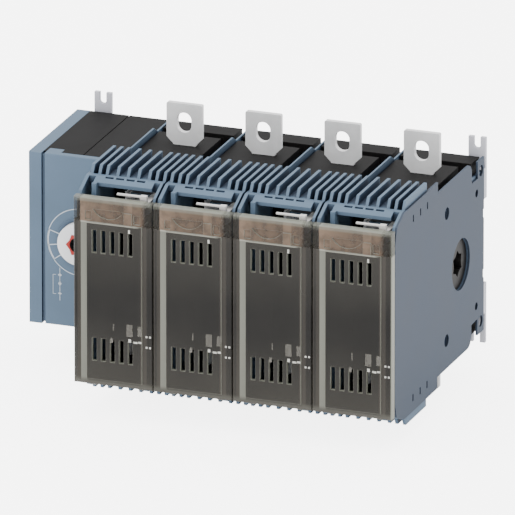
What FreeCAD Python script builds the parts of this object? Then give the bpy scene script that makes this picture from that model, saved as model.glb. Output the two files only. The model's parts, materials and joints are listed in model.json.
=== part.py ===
import FreeCAD, Part
import math
import os
import Sketcher

# Four-pole fuse switch disconnector: a rotary mechanism at the left drives one square shaft
# through four poles, each with a finned housing, a hinged tinted cover and its own contacts.
# Lengths are millimetres and angles are degrees.
# X runs from the mechanism to the last pole, Y from the covers to the mounting plane, Z up.
# The origin is the centre of the four mounting feet, on the plane that they rest on.
# A depth is a distance forward of the housings' back plane.

SIZES = {
    # The whole unit
    "pole_pitch": (60.0, "centre to centre of two neighbouring poles"),
    "mechanism_width": (70.0, "width of the mechanism at the left end"),
    "foot_standoff": (8.5, "mounting plane to the housings' back plane"),
    "module_gap": (0.2, "clearance at each side of a pole's housing"),
    "seat_gap": (0.15, "clearance of a piece in its seat"),
    "running_gap": (0.06, "radial clearance of a turning piece"),
    "side_gap": (0.3, "clearance beside a moving piece"),
    "overcut": (1.0, "how far a cut starts outside the material"),
    "overlap": (1.0, "how far two joined shapes reach into each other"),
    # Pole housing
    "housing_depth": (187.0, "back plane to the front edge of the side walls"),
    "housing_half_height": (77.5, "mid-height to the roof beside the fins"),
    "ridge_half_height": (69.0, "mid-height to the barrier ridge between two poles"),
    "ridge_thickness": (1.3, "thickness of that ridge"),
    "ridge_groove_half_height": (60.0, "mid-height to the bottom of the groove beside the ridge"),
    "left_wall": (2.5, "left wall of a pole's housing"),
    "right_wall": (2.0, "right wall of a pole's housing"),
    "ridge_start": (33.0, "depth where the barrier ridge reaches its height"),
    "roof_start": (117.0, "depth where the finned roof starts"),
    "roof_end": (174.0, "depth of the lintel's front face"),
    "roof_underside": (72.2, "mid-height to the underside of the roof"),
    "shoulder_depth": (168.0, "depth where the side wall starts to slope down"),
    "brow_depth": (182.7, "depth of the side wall's upper front corner"),
    "brow_half_height": (71.1, "half height at the upper front corner"),
    "cheek_depth": (184.8, "depth of the side wall's lower front corner"),
    "cheek_half_height": (66.4, "half height at the lower front corner"),
    "front_edge_half_height": (60.0, "half length of the straight front edge"),
    # Fins on the roof and under the floor
    "fin_half_height": (83.2, "mid-height to the upper fins' edges"),
    "lower_fin_half_height": (84.6, "mid-height to the lower fins' edges"),
    "fin_thickness": (2.2, "thickness of one fin"),
    "fin_inner_offset": (7.9, "pole centre to the second fin"),
    "fin_middle_offset": (15.9, "pole centre to the third fin"),
    "fin_outer_offset": (21.5, "pole centre to the fourth fin"),
    "fin_edge_offset": (27.3, "pole centre to the outermost fin"),
    "fin_break_depth": (159.4, "depth where the fins' front edge starts"),
    "fin_foot_depth": (163.0, "depth where the fins meet the front beam"),
    "trough_half_height": (77.0, "mid-height to the floor between two wide-set fins"),
    "trough_front": (163.5, "depth of the front ends of the troughs and vent slots"),
    "slot_start": (120.0, "depth where the vent slots start"),
    "slot_tie_half_height": (76.0, "mid-height to the low wall behind the vent slots"),
    "dash_start": (167.2, "depth of the lintel's groove"),
    "dash_width": (2.2, "width of the lintel's groove, front to back"),
    "dash_length": (6.2, "length of one piece of the lintel's groove"),
    "dash_depth": (2.6, "depth of the lintel's groove below the roof"),
    # Contact base
    "base_half_height": (64.7, "mid-height to the top of the contact base"),
    "back_slot_start": (17.3, "depth of the slot behind the terminals"),
    "back_slot_end": (26.2, "front of the slot behind the terminals"),
    "back_slot_half_height": (53.0, "mid-height to the bottom of that slot"),
    "side_channel_width": (6.6, "width of the recess beside the barrier ridge"),
    "side_channel_half_height": (55.0, "mid-height to the bottom of that recess"),
    # Shaft, rotors and contacts
    "shaft_depth": (49.0, "depth of the main shaft's axis"),
    "shaft_square": (12.0, "width across the main shaft's flats"),
    "rotor_radius": (19.0, "radius of a contact rotor"),
    "rotor_groove_radius": (14.0, "radius at the bottom of a contact groove"),
    "rotor_end_gap": (2.7, "set-back of a rotor's end from the pole's right edge"),
    "rotor_socket_depth": (6.0, "depth of the star socket in a rotor's end"),
    "star_tip_radius": (10.0, "radius over the star socket's points"),
    "star_root_radius": (7.4, "radius at the star socket's roots"),
    "switch_angle": (30.0, "turn of the main shaft from off to on"),
    "contact_spread": (60.0, "angle between the two arms of a bridging contact"),
    "contact_tip_radius": (33.0, "shaft axis to the tip of a bridging contact"),
    "contact_plate": (2.0, "thickness of a bridging contact plate"),
    "contact_arm_half_angle": (7.0, "half the angle that an arm covers at its tip"),
    "knife_thickness": (4.0, "thickness of a fixed contact knife"),
    "knife_half_width": (5.0, "half the width of a fixed contact knife"),
    "knife_start_radius": (22.0, "shaft axis to the end of a fixed knife"),
    "knife_seat": (2.0, "how far a terminal's knife enters its seat beyond the arc chamber"),
    "neck_start": (34.6, "mid-height to the inner end of a terminal's neck"),
    "chamber_radius": (36.0, "radius of the arc chamber"),
    "chamber_width": (13.0, "width of the arc chamber"),
    # Terminals
    "terminal_width": (27.0, "width of a terminal blade"),
    "terminal_thickness": (4.0, "thickness of a terminal blade"),
    "terminal_neck": (17.0, "width of the terminal where it enters the base"),
    "terminal_neck_end": (65.3, "mid-height to the chamfers of the blade"),
    "terminal_tip": (95.9, "mid-height to the end of the blade"),
    "terminal_slot_width": (11.0, "width of the bolt slot"),
    "terminal_slot_length": (15.0, "end to end length of the bolt slot"),
    "terminal_slot_height": (81.7, "mid-height to the middle of the bolt slot"),
    "terminal_corner": (1.2, "rounding of the blade's end corners"),
    # Fuse jaws
    "jaw_bottom": (42.0, "mid-height to the inner end of a jaw"),
    "jaw_top": (62.0, "mid-height to the outer end of a jaw"),
    "jaw_half_width": (6.2, "half the width over a jaw's web"),
    "jaw_metal": (1.6, "thickness of a jaw's leaf"),
    "jaw_pinch": (2.8, "half the gap where the leaves grip"),
    "jaw_mouth": (5.6, "half the gap at the flared mouth"),
    "jaw_web": (2.6, "thickness of the jaw's web"),
    "jaw_shoulder_depth": (136.0, "depth where the leaves turn inward"),
    "jaw_pinch_depth": (143.0, "depth where the leaves grip"),
    "jaw_mouth_depth": (150.0, "depth of the jaw's mouth"),
    "jaw_tail_bottom": (45.0, "mid-height to the lower edge of the tail at the web"),
    "jaw_tail_top": (55.0, "mid-height to the upper edge of the tail at the web"),
    # Fuse cover
    "cover_gap": (0.3, "clearance between a cover and the housing's front edge"),
    "cover_half_width": (29.85, "half the width of a cover"),
    "cover_half_height": (69.8, "mid-height to the cover's upper and lower edges"),
    "cover_height": (6.9, "height of the cover's shell"),
    "cover_skin": (2.2, "wall of the cover's shell"),
    "cover_rounding": (1.5, "rounding of the cover's front edges"),
    "panel_rise": (0.8, "how far the panel stands out of the cover's face"),
    "panel_left": (19.9, "pole centre to the panel's left edge"),
    "panel_right": (22.0, "pole centre to the panel's right edge"),
    "panel_top": (52.3, "mid-height to the panel's upper edge"),
    "panel_bottom": (65.5, "mid-height to the panel's lower edge"),
    "skirt_left": (25.2, "pole centre to the left skirt's inner face"),
    "skirt_right": (22.0, "pole centre to the right skirt's outer face"),
    "skirt_thickness": (1.2, "thickness of a skirt"),
    "skirt_back": (180.6, "depth of the skirts' back edges"),
    "skirt_bottom": (60.0, "mid-height to the skirts' lower ends"),
    "vent_shift": (0.2, "pole centre to the middle vents, to the left"),
    "vent_pitch": (6.8, "centre to centre of two cover vents"),
    "vent_width": (3.5, "width of a cover vent"),
    "vent_length": (17.2, "length of a cover vent"),
    "vent_top": (46.7, "mid-height to the end of the upper vents"),
    "vent_bottom": (51.4, "mid-height to the end of the lower vents"),
    "grip_shift": (3.5, "pole centre to the finger grip's middle, to the left"),
    "grip_half_width": (11.5, "half the width of the finger grip"),
    "grip_top": (62.0, "mid-height to the finger grip's upper edge"),
    "grip_bottom": (55.2, "mid-height to the lowest point of the finger grip"),
    "grip_sink": (0.9, "depth of the finger grip"),
    "tab_left": (8.5, "pole centre to the left side of the tab beside the grip"),
    "tab_right": (14.5, "pole centre to the right side of that tab"),
    "tab_top": (61.5, "mid-height to the top of that tab"),
    "cell_gap": (1.3, "space beside the tab and the panel's corners"),
    "cell_bottom": (53.8, "mid-height to the bottom of the shallow cells beside the grip"),
    "cell_top": (60.2, "mid-height to the top of those cells"),
    "cell_width": (4.6, "width of one of those cells"),
    "hinge_depth": (183.5, "depth of a cover's hinge axis"),
    "hinge_drop": (71.5, "mid-height down to a cover's hinge axis"),
    "hinge_pin_radius": (1.5, "radius of a cover's hinge pins"),
    "hinge_eye_radius": (2.4, "radius around a hinge pin or its bore"),
    "hinge_arm_offset": (18.0, "pole centre to the middle of a hinge arm"),
    "hinge_arm_width": (4.0, "width of a hinge arm"),
    "hinge_arm_root": (66.8, "mid-height to the upper end of a hinge arm's root"),
    "hinge_arm_end": (70.8, "mid-height to the lower end of a hinge arm's root"),
    "hinge_pin_length": (3.0, "how far a hinge pin stands out of its arm"),
    "hinge_lug_width": (3.0, "width of a hinge lug on the housing"),
    "hinge_lug_root": (72.7, "mid-height to the upper end of a hinge lug's root"),
    # Frame round the latch
    "lintel_left": (22.2, "pole centre to the lintel's left end"),
    "lintel_right": (22.0, "pole centre to the lintel's right end"),
    "post_width": (3.4, "width of the post at the lintel's left end"),
    "post_front": (177.5, "depth of that post's front"),
    "post_bottom": (60.0, "mid-height to that post's lower end"),
    "post_top": (75.0, "mid-height to that post's upper end"),
    # Snap windows in the right side
    "snap_width": (2.2, "width of a snap window"),
    "snap_height": (5.4, "height of a snap window"),
    "snap_half_height": (67.2, "mid-height to the middle of the snap windows"),
    "snap_back_depth": (119.8, "depth of the rearmost snap window"),
    "snap_middle_depth": (134.2, "depth of the middle snap window"),
    "snap_front_depth": (149.2, "depth of the foremost snap window"),
    # Cover latch
    "latch_left": (17.4, "pole centre to the latch button's left side"),
    "latch_right": (22.0, "pole centre to the latch button's right side"),
    "latch_top": (72.6, "mid-height to the top of the latch button"),
    "latch_bottom": (64.6, "mid-height to the bottom of the latch's foot"),
    "latch_front": (186.0, "depth of the latch button's front"),
    "latch_back": (182.0, "depth of the latch button's back"),
    "latch_bar_reach": (17.4, "length of the thin bar beside the button"),
    "latch_bar_height": (1.2, "height of the thin bar"),
    "latch_bar_depth": (2.0, "thickness of the thin bar, front to back"),
    "latch_foot_start": (150.0, "depth where the latch's foot ends under the roof"),
    "latch_foot_height": (1.7, "thickness of the latch's foot"),
    "latch_rail_start": (152.0, "depth of the two rails that hold the latch's foot"),
    "latch_rail_width": (6.0, "width of a rail, front to back"),
    "latch_rail_height": (2.2, "height of a rail"),
    "latch_travel": (4.0, "travel of the latch"),
    # Right end plate
    "end_plate": (1.5, "thickness of the right end plate"),
    "back_strip_half_height": (65.5, "half height of the end plate's back strip"),
    "back_strip_end": (20.0, "depth of the back strip's front edge"),
    "plate_slot_start": (13.4, "depth where the notch in the end plate's top edge starts"),
    "plate_corner": (8.0, "rounding of the end plate's corner in front of that notch"),
    "step_depth": (98.0, "depth where the end plate rises beside the roof"),
    "notch_height": (6.4, "length of a notch in the end plate's back edge"),
    "notch_depth": (1.6, "depth of a notch in the back edge"),
    "notch_half_height": (22.7, "mid-height to the middle of a notch"),
    # Tie rods
    "front_rod_depth": (78.7, "depth of the front tie rods"),
    "front_rod_height": (47.8, "mid-height to the front tie rods"),
    "back_rod_depth": (15.9, "depth of the back tie rods"),
    "back_rod_height": (42.6, "mid-height to the back tie rods"),
    "front_rod_radius": (2.5, "radius of a front tie rod"),
    "front_head_radius": (4.3, "radius of a front tie rod's head"),
    "back_rod_radius": (1.5, "radius of a back tie rod"),
    "back_head_radius": (2.6, "radius of a back tie rod's head"),
    "rod_head_height": (3.2, "height of a tie rod's head"),
    "head_gap": (0.3, "radial clearance round a tie rod's head"),
    "corner_hole_depth": (6.6, "depth of the holes at the end plate's back corners"),
    "corner_hole_height": (56.8, "mid-height to those holes"),
    "corner_hole_radius": (4.2, "radius of those holes"),
    # Mechanism
    "mechanism_depth": (99.0, "back plane to the mechanism's front"),
    "mechanism_half_height": (64.5, "mid-height to the mechanism's top"),
    "side_plate_width": (9.9, "width of the left side plate"),
    "front_groove": (2.3, "groove between the side plate and the front panel"),
    "shell_wall": (2.8, "wall of the mechanism's mouldings"),
    "panel_rim": (5.0, "depth of the front panel's rim"),
    "edge_rounding": (0.9, "rounding of the mechanism's front edges"),
    "hook_depth": (12.0, "how far the front panel's hook reaches back over the top"),
    "hook_width": (11.0, "width of that hook"),
    "hook_thickness": (1.2, "thickness of that hook"),
    "seam_width": (0.8, "width of the seam in the mechanism's top"),
    "seam_depth": (1.6, "depth of that seam"),
    "spindle_offset": (39.5, "left edge to the spindle's axis"),
    "spindle_radius": (5.0, "radius of the drive spindle"),
    "handle_socket": (6.0, "width across the flats of the handle's socket"),
    "spindle_back": (72.0, "depth of the spindle's back end"),
    "disc_radius": (18.5, "radius of the drive disc"),
    "disc_proud": (0.5, "how far the drive disc stands out of the panel"),
    "disc_thickness": (2.6, "thickness of the drive disc"),
    "insert_tip_radius": (9.8, "radius over the star insert's points"),
    "insert_root_radius": (7.0, "radius at the star insert's roots"),
    "insert_bore": (5.2, "radius of the star insert's socket"),
    "web_depth": (75.0, "depth of the bearing web's back face"),
    "web_thickness": (4.0, "thickness of the bearing web"),
    "web_end": (46.5, "left edge to the end of the bearing web"),
    "pillar_width": (4.0, "width of the main shaft's bearing pillar"),
    "pillar_half_height": (12.0, "half height of the bearing pillar"),
    "pillar_front": (62.0, "depth of the bearing pillar's front"),
    "journal_radius": (6.0, "radius of the main shaft's journal"),
    "passage_radius": (9.0, "radius of the opening that the main shaft passes"),
    # Rack drive
    "gear_module": (1.5, "tooth module of the rack drive"),
    "pinion_teeth": (12.0, "teeth of the spindle pinion"),
    "sector_full_teeth": (36.0, "teeth of the shaft sector if it were a full wheel"),
    "sector_teeth": (7.0, "teeth of the shaft sector"),
    "rack_teeth": (7.0, "teeth of each rack"),
    "tooth_head": (0.8, "height of a tooth above the pitch line, in modules"),
    "tooth_foot": (1.1, "depth of a gap below the pitch line, in modules"),
    "flank_angle": (20.0, "angle of the teeth's flanks"),
    "backlash": (0.5, "play between two meshing teeth"),
    "tooth_bury": (0.7, "how far a wheel's tooth reaches below the root circle"),
    "sector_lead": (1.5, "teeth from the sector's level line to its first tooth"),
    "fan_margin": (6.0, "angle by which the sector's plate passes its outer teeth"),
    "fan_bulge": (0.2, "how far the sector's plate stands out of the root circle"),
    "pinion_back": (82.0, "depth of the pinion's back face"),
    "pinion_width": (8.0, "width of the pinion"),
    "sector_width": (7.0, "width of the shaft sector"),
    "sector_hub_radius": (11.0, "radius of the shaft sector's hub"),
    "slider_width": (7.8, "width of the rack slider behind its teeth"),
    "slider_front": (90.3, "depth of the rack slider's front"),
    "slider_bottom": (33.0, "mid-height down to the slider's lower end"),
    "slider_top": (47.0, "mid-height up to the slider's upper end"),
    "guide_wall": (3.0, "wall that guides the rack slider"),
    "guide_lip": (2.0, "lip in front of the rack slider"),
    "guide_keeper_height": (31.0, "mid-height to the keepers behind the slider"),
    "guide_keeper_length": (6.0, "length of a keeper"),
    # Mounting feet
    "foot_inset_left": (17.5, "left edge to the left feet"),
    "foot_inset_right": (7.5, "right edge to the right feet"),
    "foot_width": (13.0, "width of a mounting foot"),
    "foot_plate": (3.0, "thickness of a foot's fork"),
    "foot_slot_width": (5.2, "width of a foot's open slot"),
    "foot_slot_end": (69.0, "mid-height to the bottom of a foot's slot"),
    "foot_tip": (77.5, "mid-height to a foot's tips"),
    "foot_block_start": (32.0, "mid-height to the near end of a foot's block"),
    "foot_block_end": (55.0, "mid-height to the far end of a foot's block"),
    "foot_screw_height": (43.5, "mid-height to a foot's own screw"),
    "foot_screw_radius": (2.0, "radius of a foot's own screw"),
    "foot_screw_head": (3.8, "radius of that screw's head"),
    "foot_screw_sink": (3.5, "depth of the recess for that head"),
    "foot_screw_bite": (9.0, "how far that screw goes into the base"),
    "foot_screw_set_back": (1.0, "set-back of that screw's head from the mounting plane"),
}
POLE_COUNT = 4
FIRST, LAST = 0, POLE_COUNT - 1
VENT_COLUMNS = (-2, -1, 0, 1, 2)
STAR_POINTS = 6
HEXAGON = 6
FULL_TURN = 360
HALF_TURN = 180
QUARTER_TURN = 90
SHEET = "Sizes"
LABEL_COLUMN, VALUE_COLUMN, NOTE_COLUMN = "A", "B", "C"

# Sketch planes by the role of the origin plane, with the way a pad grows from each
FRONT = "XZ_Plane"
SIDE = "YZ_Plane"
TOP = "XY_Plane"
POINT_TOLERANCE = 0.001


class Size:
    """A number together with the sheet expression that drives it."""

    def __init__(self, value, text):
        self.value = value
        self.text = text

    def __add__(self, other):
        other = as_size(other)
        return Size(self.value + other.value, f"({self.text} + {other.text})")

    def __sub__(self, other):
        other = as_size(other)
        return Size(self.value - other.value, f"({self.text} - {other.text})")

    def __mul__(self, other):
        other = as_size(other)
        return Size(self.value * other.value, f"({self.text} * {other.text})")

    def __truediv__(self, other):
        other = as_size(other)
        return Size(self.value / other.value, f"({self.text} / {other.text})")

    def __neg__(self):
        return Size(-self.value, f"(-1 * {self.text})")

    def __rtruediv__(self, other):
        return as_size(other) / self

    __radd__ = __add__
    __rmul__ = __mul__


def as_size(number):
    """Wraps a plain number, so that sizes and numbers mix in one formula."""
    return number if isinstance(number, Size) else Size(float(number), f"{number:g}")


def sine(angle):
    """The sine of an angle in degrees."""
    angle = as_size(angle)
    return Size(math.sin(math.radians(angle.value)), f"sin({angle.text} * 1 deg)")


def cosine(angle):
    """The cosine of an angle in degrees."""
    angle = as_size(angle)
    return Size(math.cos(math.radians(angle.value)), f"cos({angle.text} * 1 deg)")


def tangent(angle):
    """The tangent of an angle in degrees."""
    return sine(angle) / cosine(angle)


class Dimensions:
    """The driving dimensions, read by name as sizes."""

    def __getattr__(self, name):
        return Size(SIZES[name][0], f"{SHEET}.{name}")


def write_sheet(doc):
    """Fills the spreadsheet that every sketch and feature is bound to."""
    sheet = doc.addObject("Spreadsheet::Sheet", SHEET)
    for row, (alias, (value, note)) in enumerate(SIZES.items(), start=1):
        sheet.set(f"{LABEL_COLUMN}{row}", alias)
        sheet.set(f"{VALUE_COLUMN}{row}", str(value))
        sheet.set(f"{NOTE_COLUMN}{row}", note)
        sheet.setAlias(f"{VALUE_COLUMN}{row}", alias)
    doc.recompute()


dim = Dimensions()
ZERO = as_size(0)
document = FreeCAD.newDocument("fuse_switch_disconnector")
write_sheet(document)


# Places that several sub-parts share

unit_width = dim.mechanism_width + dim.pole_pitch * POLE_COUNT
left_edge = -(unit_width - dim.foot_inset_left - dim.foot_inset_right) / 2 - dim.foot_inset_left
right_edge = left_edge + unit_width
back_plane = -dim.foot_standoff
module_left = -dim.pole_pitch / 2 + dim.module_gap / 2
module_right = dim.pole_pitch / 2 - dim.end_plate - dim.module_gap / 2
bay_left = module_left + dim.left_wall
bay_right = module_right - dim.right_wall
base_left = bay_left + dim.seat_gap
base_right = bay_right - dim.seat_gap
base_front = dim.roof_start - dim.seat_gap
terminal_back = dim.shaft_depth - dim.terminal_thickness
rods = (
    (dim.front_rod_depth, dim.front_rod_height, dim.front_rod_radius, dim.front_head_radius),
    (dim.back_rod_depth, dim.back_rod_height, dim.back_rod_radius, dim.back_head_radius),
)
outer_half_height = dim.lower_fin_half_height + dim.overcut
cover_back = dim.housing_depth + dim.cover_gap
cover_face = cover_back + dim.cover_height
rotor_left = module_left + dim.module_gap
rotor_right = dim.pole_pitch / 2 - dim.rotor_end_gap
rotor_bore = dim.rotor_radius + dim.running_gap


def pole_centre(index):
    """X of a pole's middle, counted from the mechanism."""
    return left_edge + dim.mechanism_width + dim.pole_pitch * (index + 0.5)


# Building blocks for sketches and features

class Profile:
    """A sketch on one of its body's origin planes, with each point bound to the sheet."""

    def __init__(self, body, name, plane, offset=ZERO):
        self.sketch = body.newObject("Sketcher::SketchObject", name)
        self.sketch.AttachmentSupport = (origin_feature(body, plane), [""])
        self.sketch.MapMode = "FlatFace"
        offset = as_size(offset)
        self.sketch.AttachmentOffset = FreeCAD.Placement(
            FreeCAD.Vector(0, 0, offset.value), FreeCAD.Rotation()
        )
        self.sketch.setExpression("AttachmentOffset.Base.z", offset.text)

    def bind(self, kind, arguments, size):
        """Adds one constraint and ties its value to the sheet."""
        index = self.sketch.addConstraint(Sketcher.Constraint(kind, *arguments, size.value))
        self.sketch.setExpression(f"Constraints[{index}]", size.text)

    def bind_point(self, geometry, point, place):
        """Ties one point of the sketch to a place measured from the origin."""
        self.bind_points([(geometry, point, place)])

    def bind_points(self, rows):
        """Ties several points of the sketch at once."""
        constraints, sizes = [], []
        for geometry, point, place in rows:
            for kind, size in zip(("DistanceX", "DistanceY"), place):
                constraints.append(Sketcher.Constraint(kind, -1, 1, geometry, point, size.value))
                sizes.append(size)
        first = self.sketch.ConstraintCount
        self.sketch.addConstraint(constraints)
        for index, size in enumerate(sizes, start=first):
            self.sketch.setExpression(f"Constraints[{index}]", size.text)

    def polygon(self, places):
        """Draws a closed outline of straight lines."""
        places = [(as_size(across), as_size(up)) for across, up in places]
        corners = [FreeCAD.Vector(across.value, up.value, 0) for across, up in places]
        first = self.sketch.GeometryCount
        following = corners[1:] + corners[:1]
        self.sketch.addGeometry([Part.LineSegment(a, b) for a, b in zip(corners, following)])
        count = len(corners)
        joints = [
            Sketcher.Constraint("Coincident", first + i, 2, first + (i + 1) % count, 1)
            for i in range(count)
        ]
        self.sketch.addConstraint(joints)
        self.bind_points([(first + i, 1, place) for i, place in enumerate(places)])
        return self

    def rectangle(self, left, right, bottom, top):
        """Draws an upright rectangle."""
        return self.polygon([(left, bottom), (right, bottom), (right, top), (left, top)])

    def circle(self, across, up, radius):
        """Draws a circle."""
        across, up, radius = as_size(across), as_size(up), as_size(radius)
        centre = FreeCAD.Vector(across.value, up.value, 0)
        index = self.sketch.addGeometry(Part.Circle(centre, FreeCAD.Vector(0, 0, 1), radius.value))
        self.bind_point(index, 3, (across, up))
        self.bind("Radius", (index,), radius)
        return self

    def upright_slot(self, across, up, half_travel, radius):
        """Draws a slot with round ends, its long axis upright."""
        across, up = as_size(across), as_size(up)
        low, high = up - half_travel, up + half_travel
        normal = FreeCAD.Vector(0, 0, 1)
        top = Part.ArcOfCircle(
            Part.Circle(FreeCAD.Vector(across.value, high.value, 0), normal, radius.value), 0, math.pi
        )
        bottom = Part.ArcOfCircle(
            Part.Circle(FreeCAD.Vector(across.value, low.value, 0), normal, radius.value),
            math.pi,
            2 * math.pi,
        )
        left = across.value - radius.value
        right = across.value + radius.value
        left_side = Part.LineSegment(
            FreeCAD.Vector(left, high.value, 0), FreeCAD.Vector(left, low.value, 0)
        )
        right_side = Part.LineSegment(
            FreeCAD.Vector(right, low.value, 0), FreeCAD.Vector(right, high.value, 0)
        )
        first = self.sketch.GeometryCount
        self.sketch.addGeometry([top, left_side, bottom, right_side])
        for i in range(4):
            self.sketch.addConstraint(
                Sketcher.Constraint("Tangent", first + i, 2, first + (i + 1) % 4, 1)
            )
        self.bind_point(first, 3, (across, high))
        self.bind_point(first + 2, 3, (across, low))
        self.bind("Radius", (first,), radius)
        return self

    def bowl(self, middle, top, bottom, half_width):
        """Draws a flat-topped segment of a circle, hanging down like a smile."""
        drop = top - bottom
        radius = (half_width * half_width + drop * drop) / (2 * drop)
        centre_up = bottom + radius
        half_angle = math.asin(half_width.value / radius.value)
        centre = FreeCAD.Vector(middle.value, centre_up.value, 0)
        arc = Part.ArcOfCircle(
            Part.Circle(centre, FreeCAD.Vector(0, 0, 1), radius.value),
            -math.pi / 2 - half_angle,
            -math.pi / 2 + half_angle,
        )
        lid = Part.LineSegment(
            FreeCAD.Vector(middle.value + half_width.value, top.value, 0),
            FreeCAD.Vector(middle.value - half_width.value, top.value, 0),
        )
        first = self.sketch.GeometryCount
        self.sketch.addGeometry([arc, lid])
        self.sketch.addConstraint(Sketcher.Constraint("Coincident", first, 2, first + 1, 1))
        self.sketch.addConstraint(Sketcher.Constraint("Coincident", first, 1, first + 1, 2))
        self.bind_point(first, 3, (middle, centre_up))
        self.bind_point(first, 1, (middle - half_width, top))
        self.bind("DistanceX", (-1, 1, first + 1, 1), middle + half_width)
        return self


def origin_feature(body, role):
    """One of the body's own origin planes or axes."""
    return next(item for item in body.Origin.OriginFeatures if item.Role == role)


def new_body(label, across=ZERO, depth=ZERO, height=ZERO, flipped=False):
    """Starts a body whose own origin lies at a place bound to the sheet.

    A flipped body is turned half a turn about Y, so its up points down.
    """
    body = document.addObject("PartDesign::Body", label)
    body.Label = label
    across, height = as_size(across), as_size(height)
    place = back_plane - depth
    turn = FreeCAD.Rotation(FreeCAD.Vector(0, 1, 0), HALF_TURN if flipped else 0)
    body.Placement = FreeCAD.Placement(
        FreeCAD.Vector(across.value, place.value, height.value), turn
    )
    body.setExpression("Placement.Base.x", across.text)
    body.setExpression("Placement.Base.y", place.text)
    body.setExpression("Placement.Base.z", height.text)
    return body


def extrusion(body, kind, profile, length, along):
    """Adds a pad or pocket of a given length, along or against the sketch's normal."""
    length = as_size(length)
    feature = body.newObject(f"PartDesign::{kind}", f"{profile.sketch.Name}_{kind}")
    feature.Profile = profile.sketch
    feature.Type = "Length"
    feature.Length = length.value
    feature.setExpression("Length", length.text)
    feature.Reversed = along if kind == "Pocket" else not along
    body.Tip = feature
    return feature


def pad(body, profile, length, along=True):
    """Adds material from the sketch plane."""
    return extrusion(body, "Pad", profile, length, along)


def pocket(body, profile, length, along=True):
    """Cuts material from the sketch plane."""
    return extrusion(body, "Pocket", profile, length, along)


def cut_through(body, profile):
    """Cuts both ways through the whole body."""
    feature = body.newObject("PartDesign::Pocket", f"{profile.sketch.Name}_Pocket")
    feature.Profile = profile.sketch
    feature.SideType = "Symmetric"
    feature.Type = "ThroughAll"
    body.Tip = feature
    return feature


def mirror(body, name, originals, plane):
    """Repeats features on the other side of an origin plane."""
    feature = body.newObject("PartDesign::Mirrored", name)
    feature.Originals = originals
    feature.MirrorPlane = (origin_feature(body, plane), [""])
    body.Tip = feature
    return feature


def round_edges(body, name, radius, places):
    """Rounds the edges that pass through the given places of the body's own frame."""
    document.recompute()
    base = body.Tip
    corners = [Part.Vertex(FreeCAD.Vector(*(as_size(value).value for value in place))) for place in places]
    chosen = [
        f"Edge{number}"
        for number, edge in enumerate(base.Shape.Edges, start=1)
        if any(edge.distToShape(corner)[0] < POINT_TOLERANCE for corner in corners)
    ]
    feature = body.newObject("PartDesign::Fillet", name)
    feature.Base = (base, chosen)
    feature.Radius = radius.value
    feature.setExpression("Radius", radius.text)
    body.Tip = feature
    return feature


def side_points(points):
    """Turns pairs of depth and height into points of a side sketch."""
    return [(-as_size(depth), as_size(height)) for depth, height in points]


def both_halves(upper, lower=None):
    """Closes an upper outline with its mirror image, or another one's, below mid-height."""
    return upper + [(depth, -as_size(height)) for depth, height in reversed(lower or upper)]


def around_shaft(radius, angle, across=ZERO):
    """Depth and height of a point round the main shaft.

    The angle is measured from straight up towards the front, and the point may lie
    a distance across that direction.
    """
    depth = dim.shaft_depth + radius * sine(angle) - across * cosine(angle)
    height = radius * cosine(angle) + across * sine(angle)
    return depth, height


def star_points(tip_radius, root_radius, points=STAR_POINTS):
    """Outline of a star with one point straight up."""
    step = HALF_TURN / points
    outline = []
    for i in range(2 * points):
        radius = tip_radius if i % 2 == 0 else root_radius
        outline.append((radius * sine(step * i), radius * cosine(step * i)))
    return outline


# Pole housing

def make_pole_housing():
    """The finned moulding of one pole, open at the back for the base and in front for the fuse."""
    body = new_body("pole_housing_1", pole_centre(FIRST))
    outline = both_halves(
        housing_half(dim.fin_half_height), housing_half(dim.lower_fin_half_height)
    )
    shell = Profile(body, "Shell", SIDE, module_left).polygon(side_points(outline))
    pad(body, shell, module_right - module_left)
    cut_bays(body)
    cut_lintel_ends(body)
    lower_right_wall(body)
    thin_ridge(body)
    add_fins(body)
    add_hinge_lugs(body)
    add_latch_rail(body)
    drill_side_walls(body)
    return body


def housing_half(fin_edge):
    """The upper half of the housing's side outline, with fins up to a given height."""
    return [
        (0, dim.base_half_height),
        (dim.back_slot_end, dim.base_half_height),
        (dim.ridge_start, dim.ridge_half_height),
        (dim.roof_start, dim.ridge_half_height),
        (dim.roof_start, fin_edge),
        (dim.fin_break_depth, fin_edge),
        (dim.fin_foot_depth, dim.housing_half_height),
        (dim.shoulder_depth, dim.housing_half_height),
        (dim.brow_depth, dim.brow_half_height),
        (dim.cheek_depth, dim.cheek_half_height),
        (dim.housing_depth, dim.front_edge_half_height),
    ]


def cut_bays(body):
    """Opens the back for the contact base and the front for the fuse."""
    outline = [
        (-dim.overcut, outer_half_height),
        (dim.roof_start, outer_half_height),
        (dim.roof_start, dim.roof_underside),
        (dim.roof_end, dim.roof_underside),
        (dim.roof_end, outer_half_height),
        (dim.housing_depth + dim.overcut, outer_half_height),
    ]
    bays = Profile(body, "Bays", SIDE, bay_left).polygon(side_points(both_halves(outline)))
    pocket(body, bays, bay_right - bay_left)


def cut_lintel_ends(body):
    """Cuts the lintel free of both side walls and adds the post at its left end."""
    ends = Profile(body, "LintelEnds", TOP, outer_half_height)
    front, back = -(dim.roof_end + dim.overcut), -dim.shoulder_depth
    ends.rectangle(bay_left, -dim.lintel_left, front, back)
    ends.rectangle(dim.lintel_right, bay_right, front, back)
    pocket(body, ends, outer_half_height - dim.roof_underside + dim.overcut, along=False)
    post = Profile(body, "Post", SIDE, -dim.lintel_left)
    post_back = dim.shoulder_depth + dim.overlap
    post.rectangle(-dim.post_front, -post_back, dim.post_bottom, dim.post_top)
    pad(body, post, dim.post_width)


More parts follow.
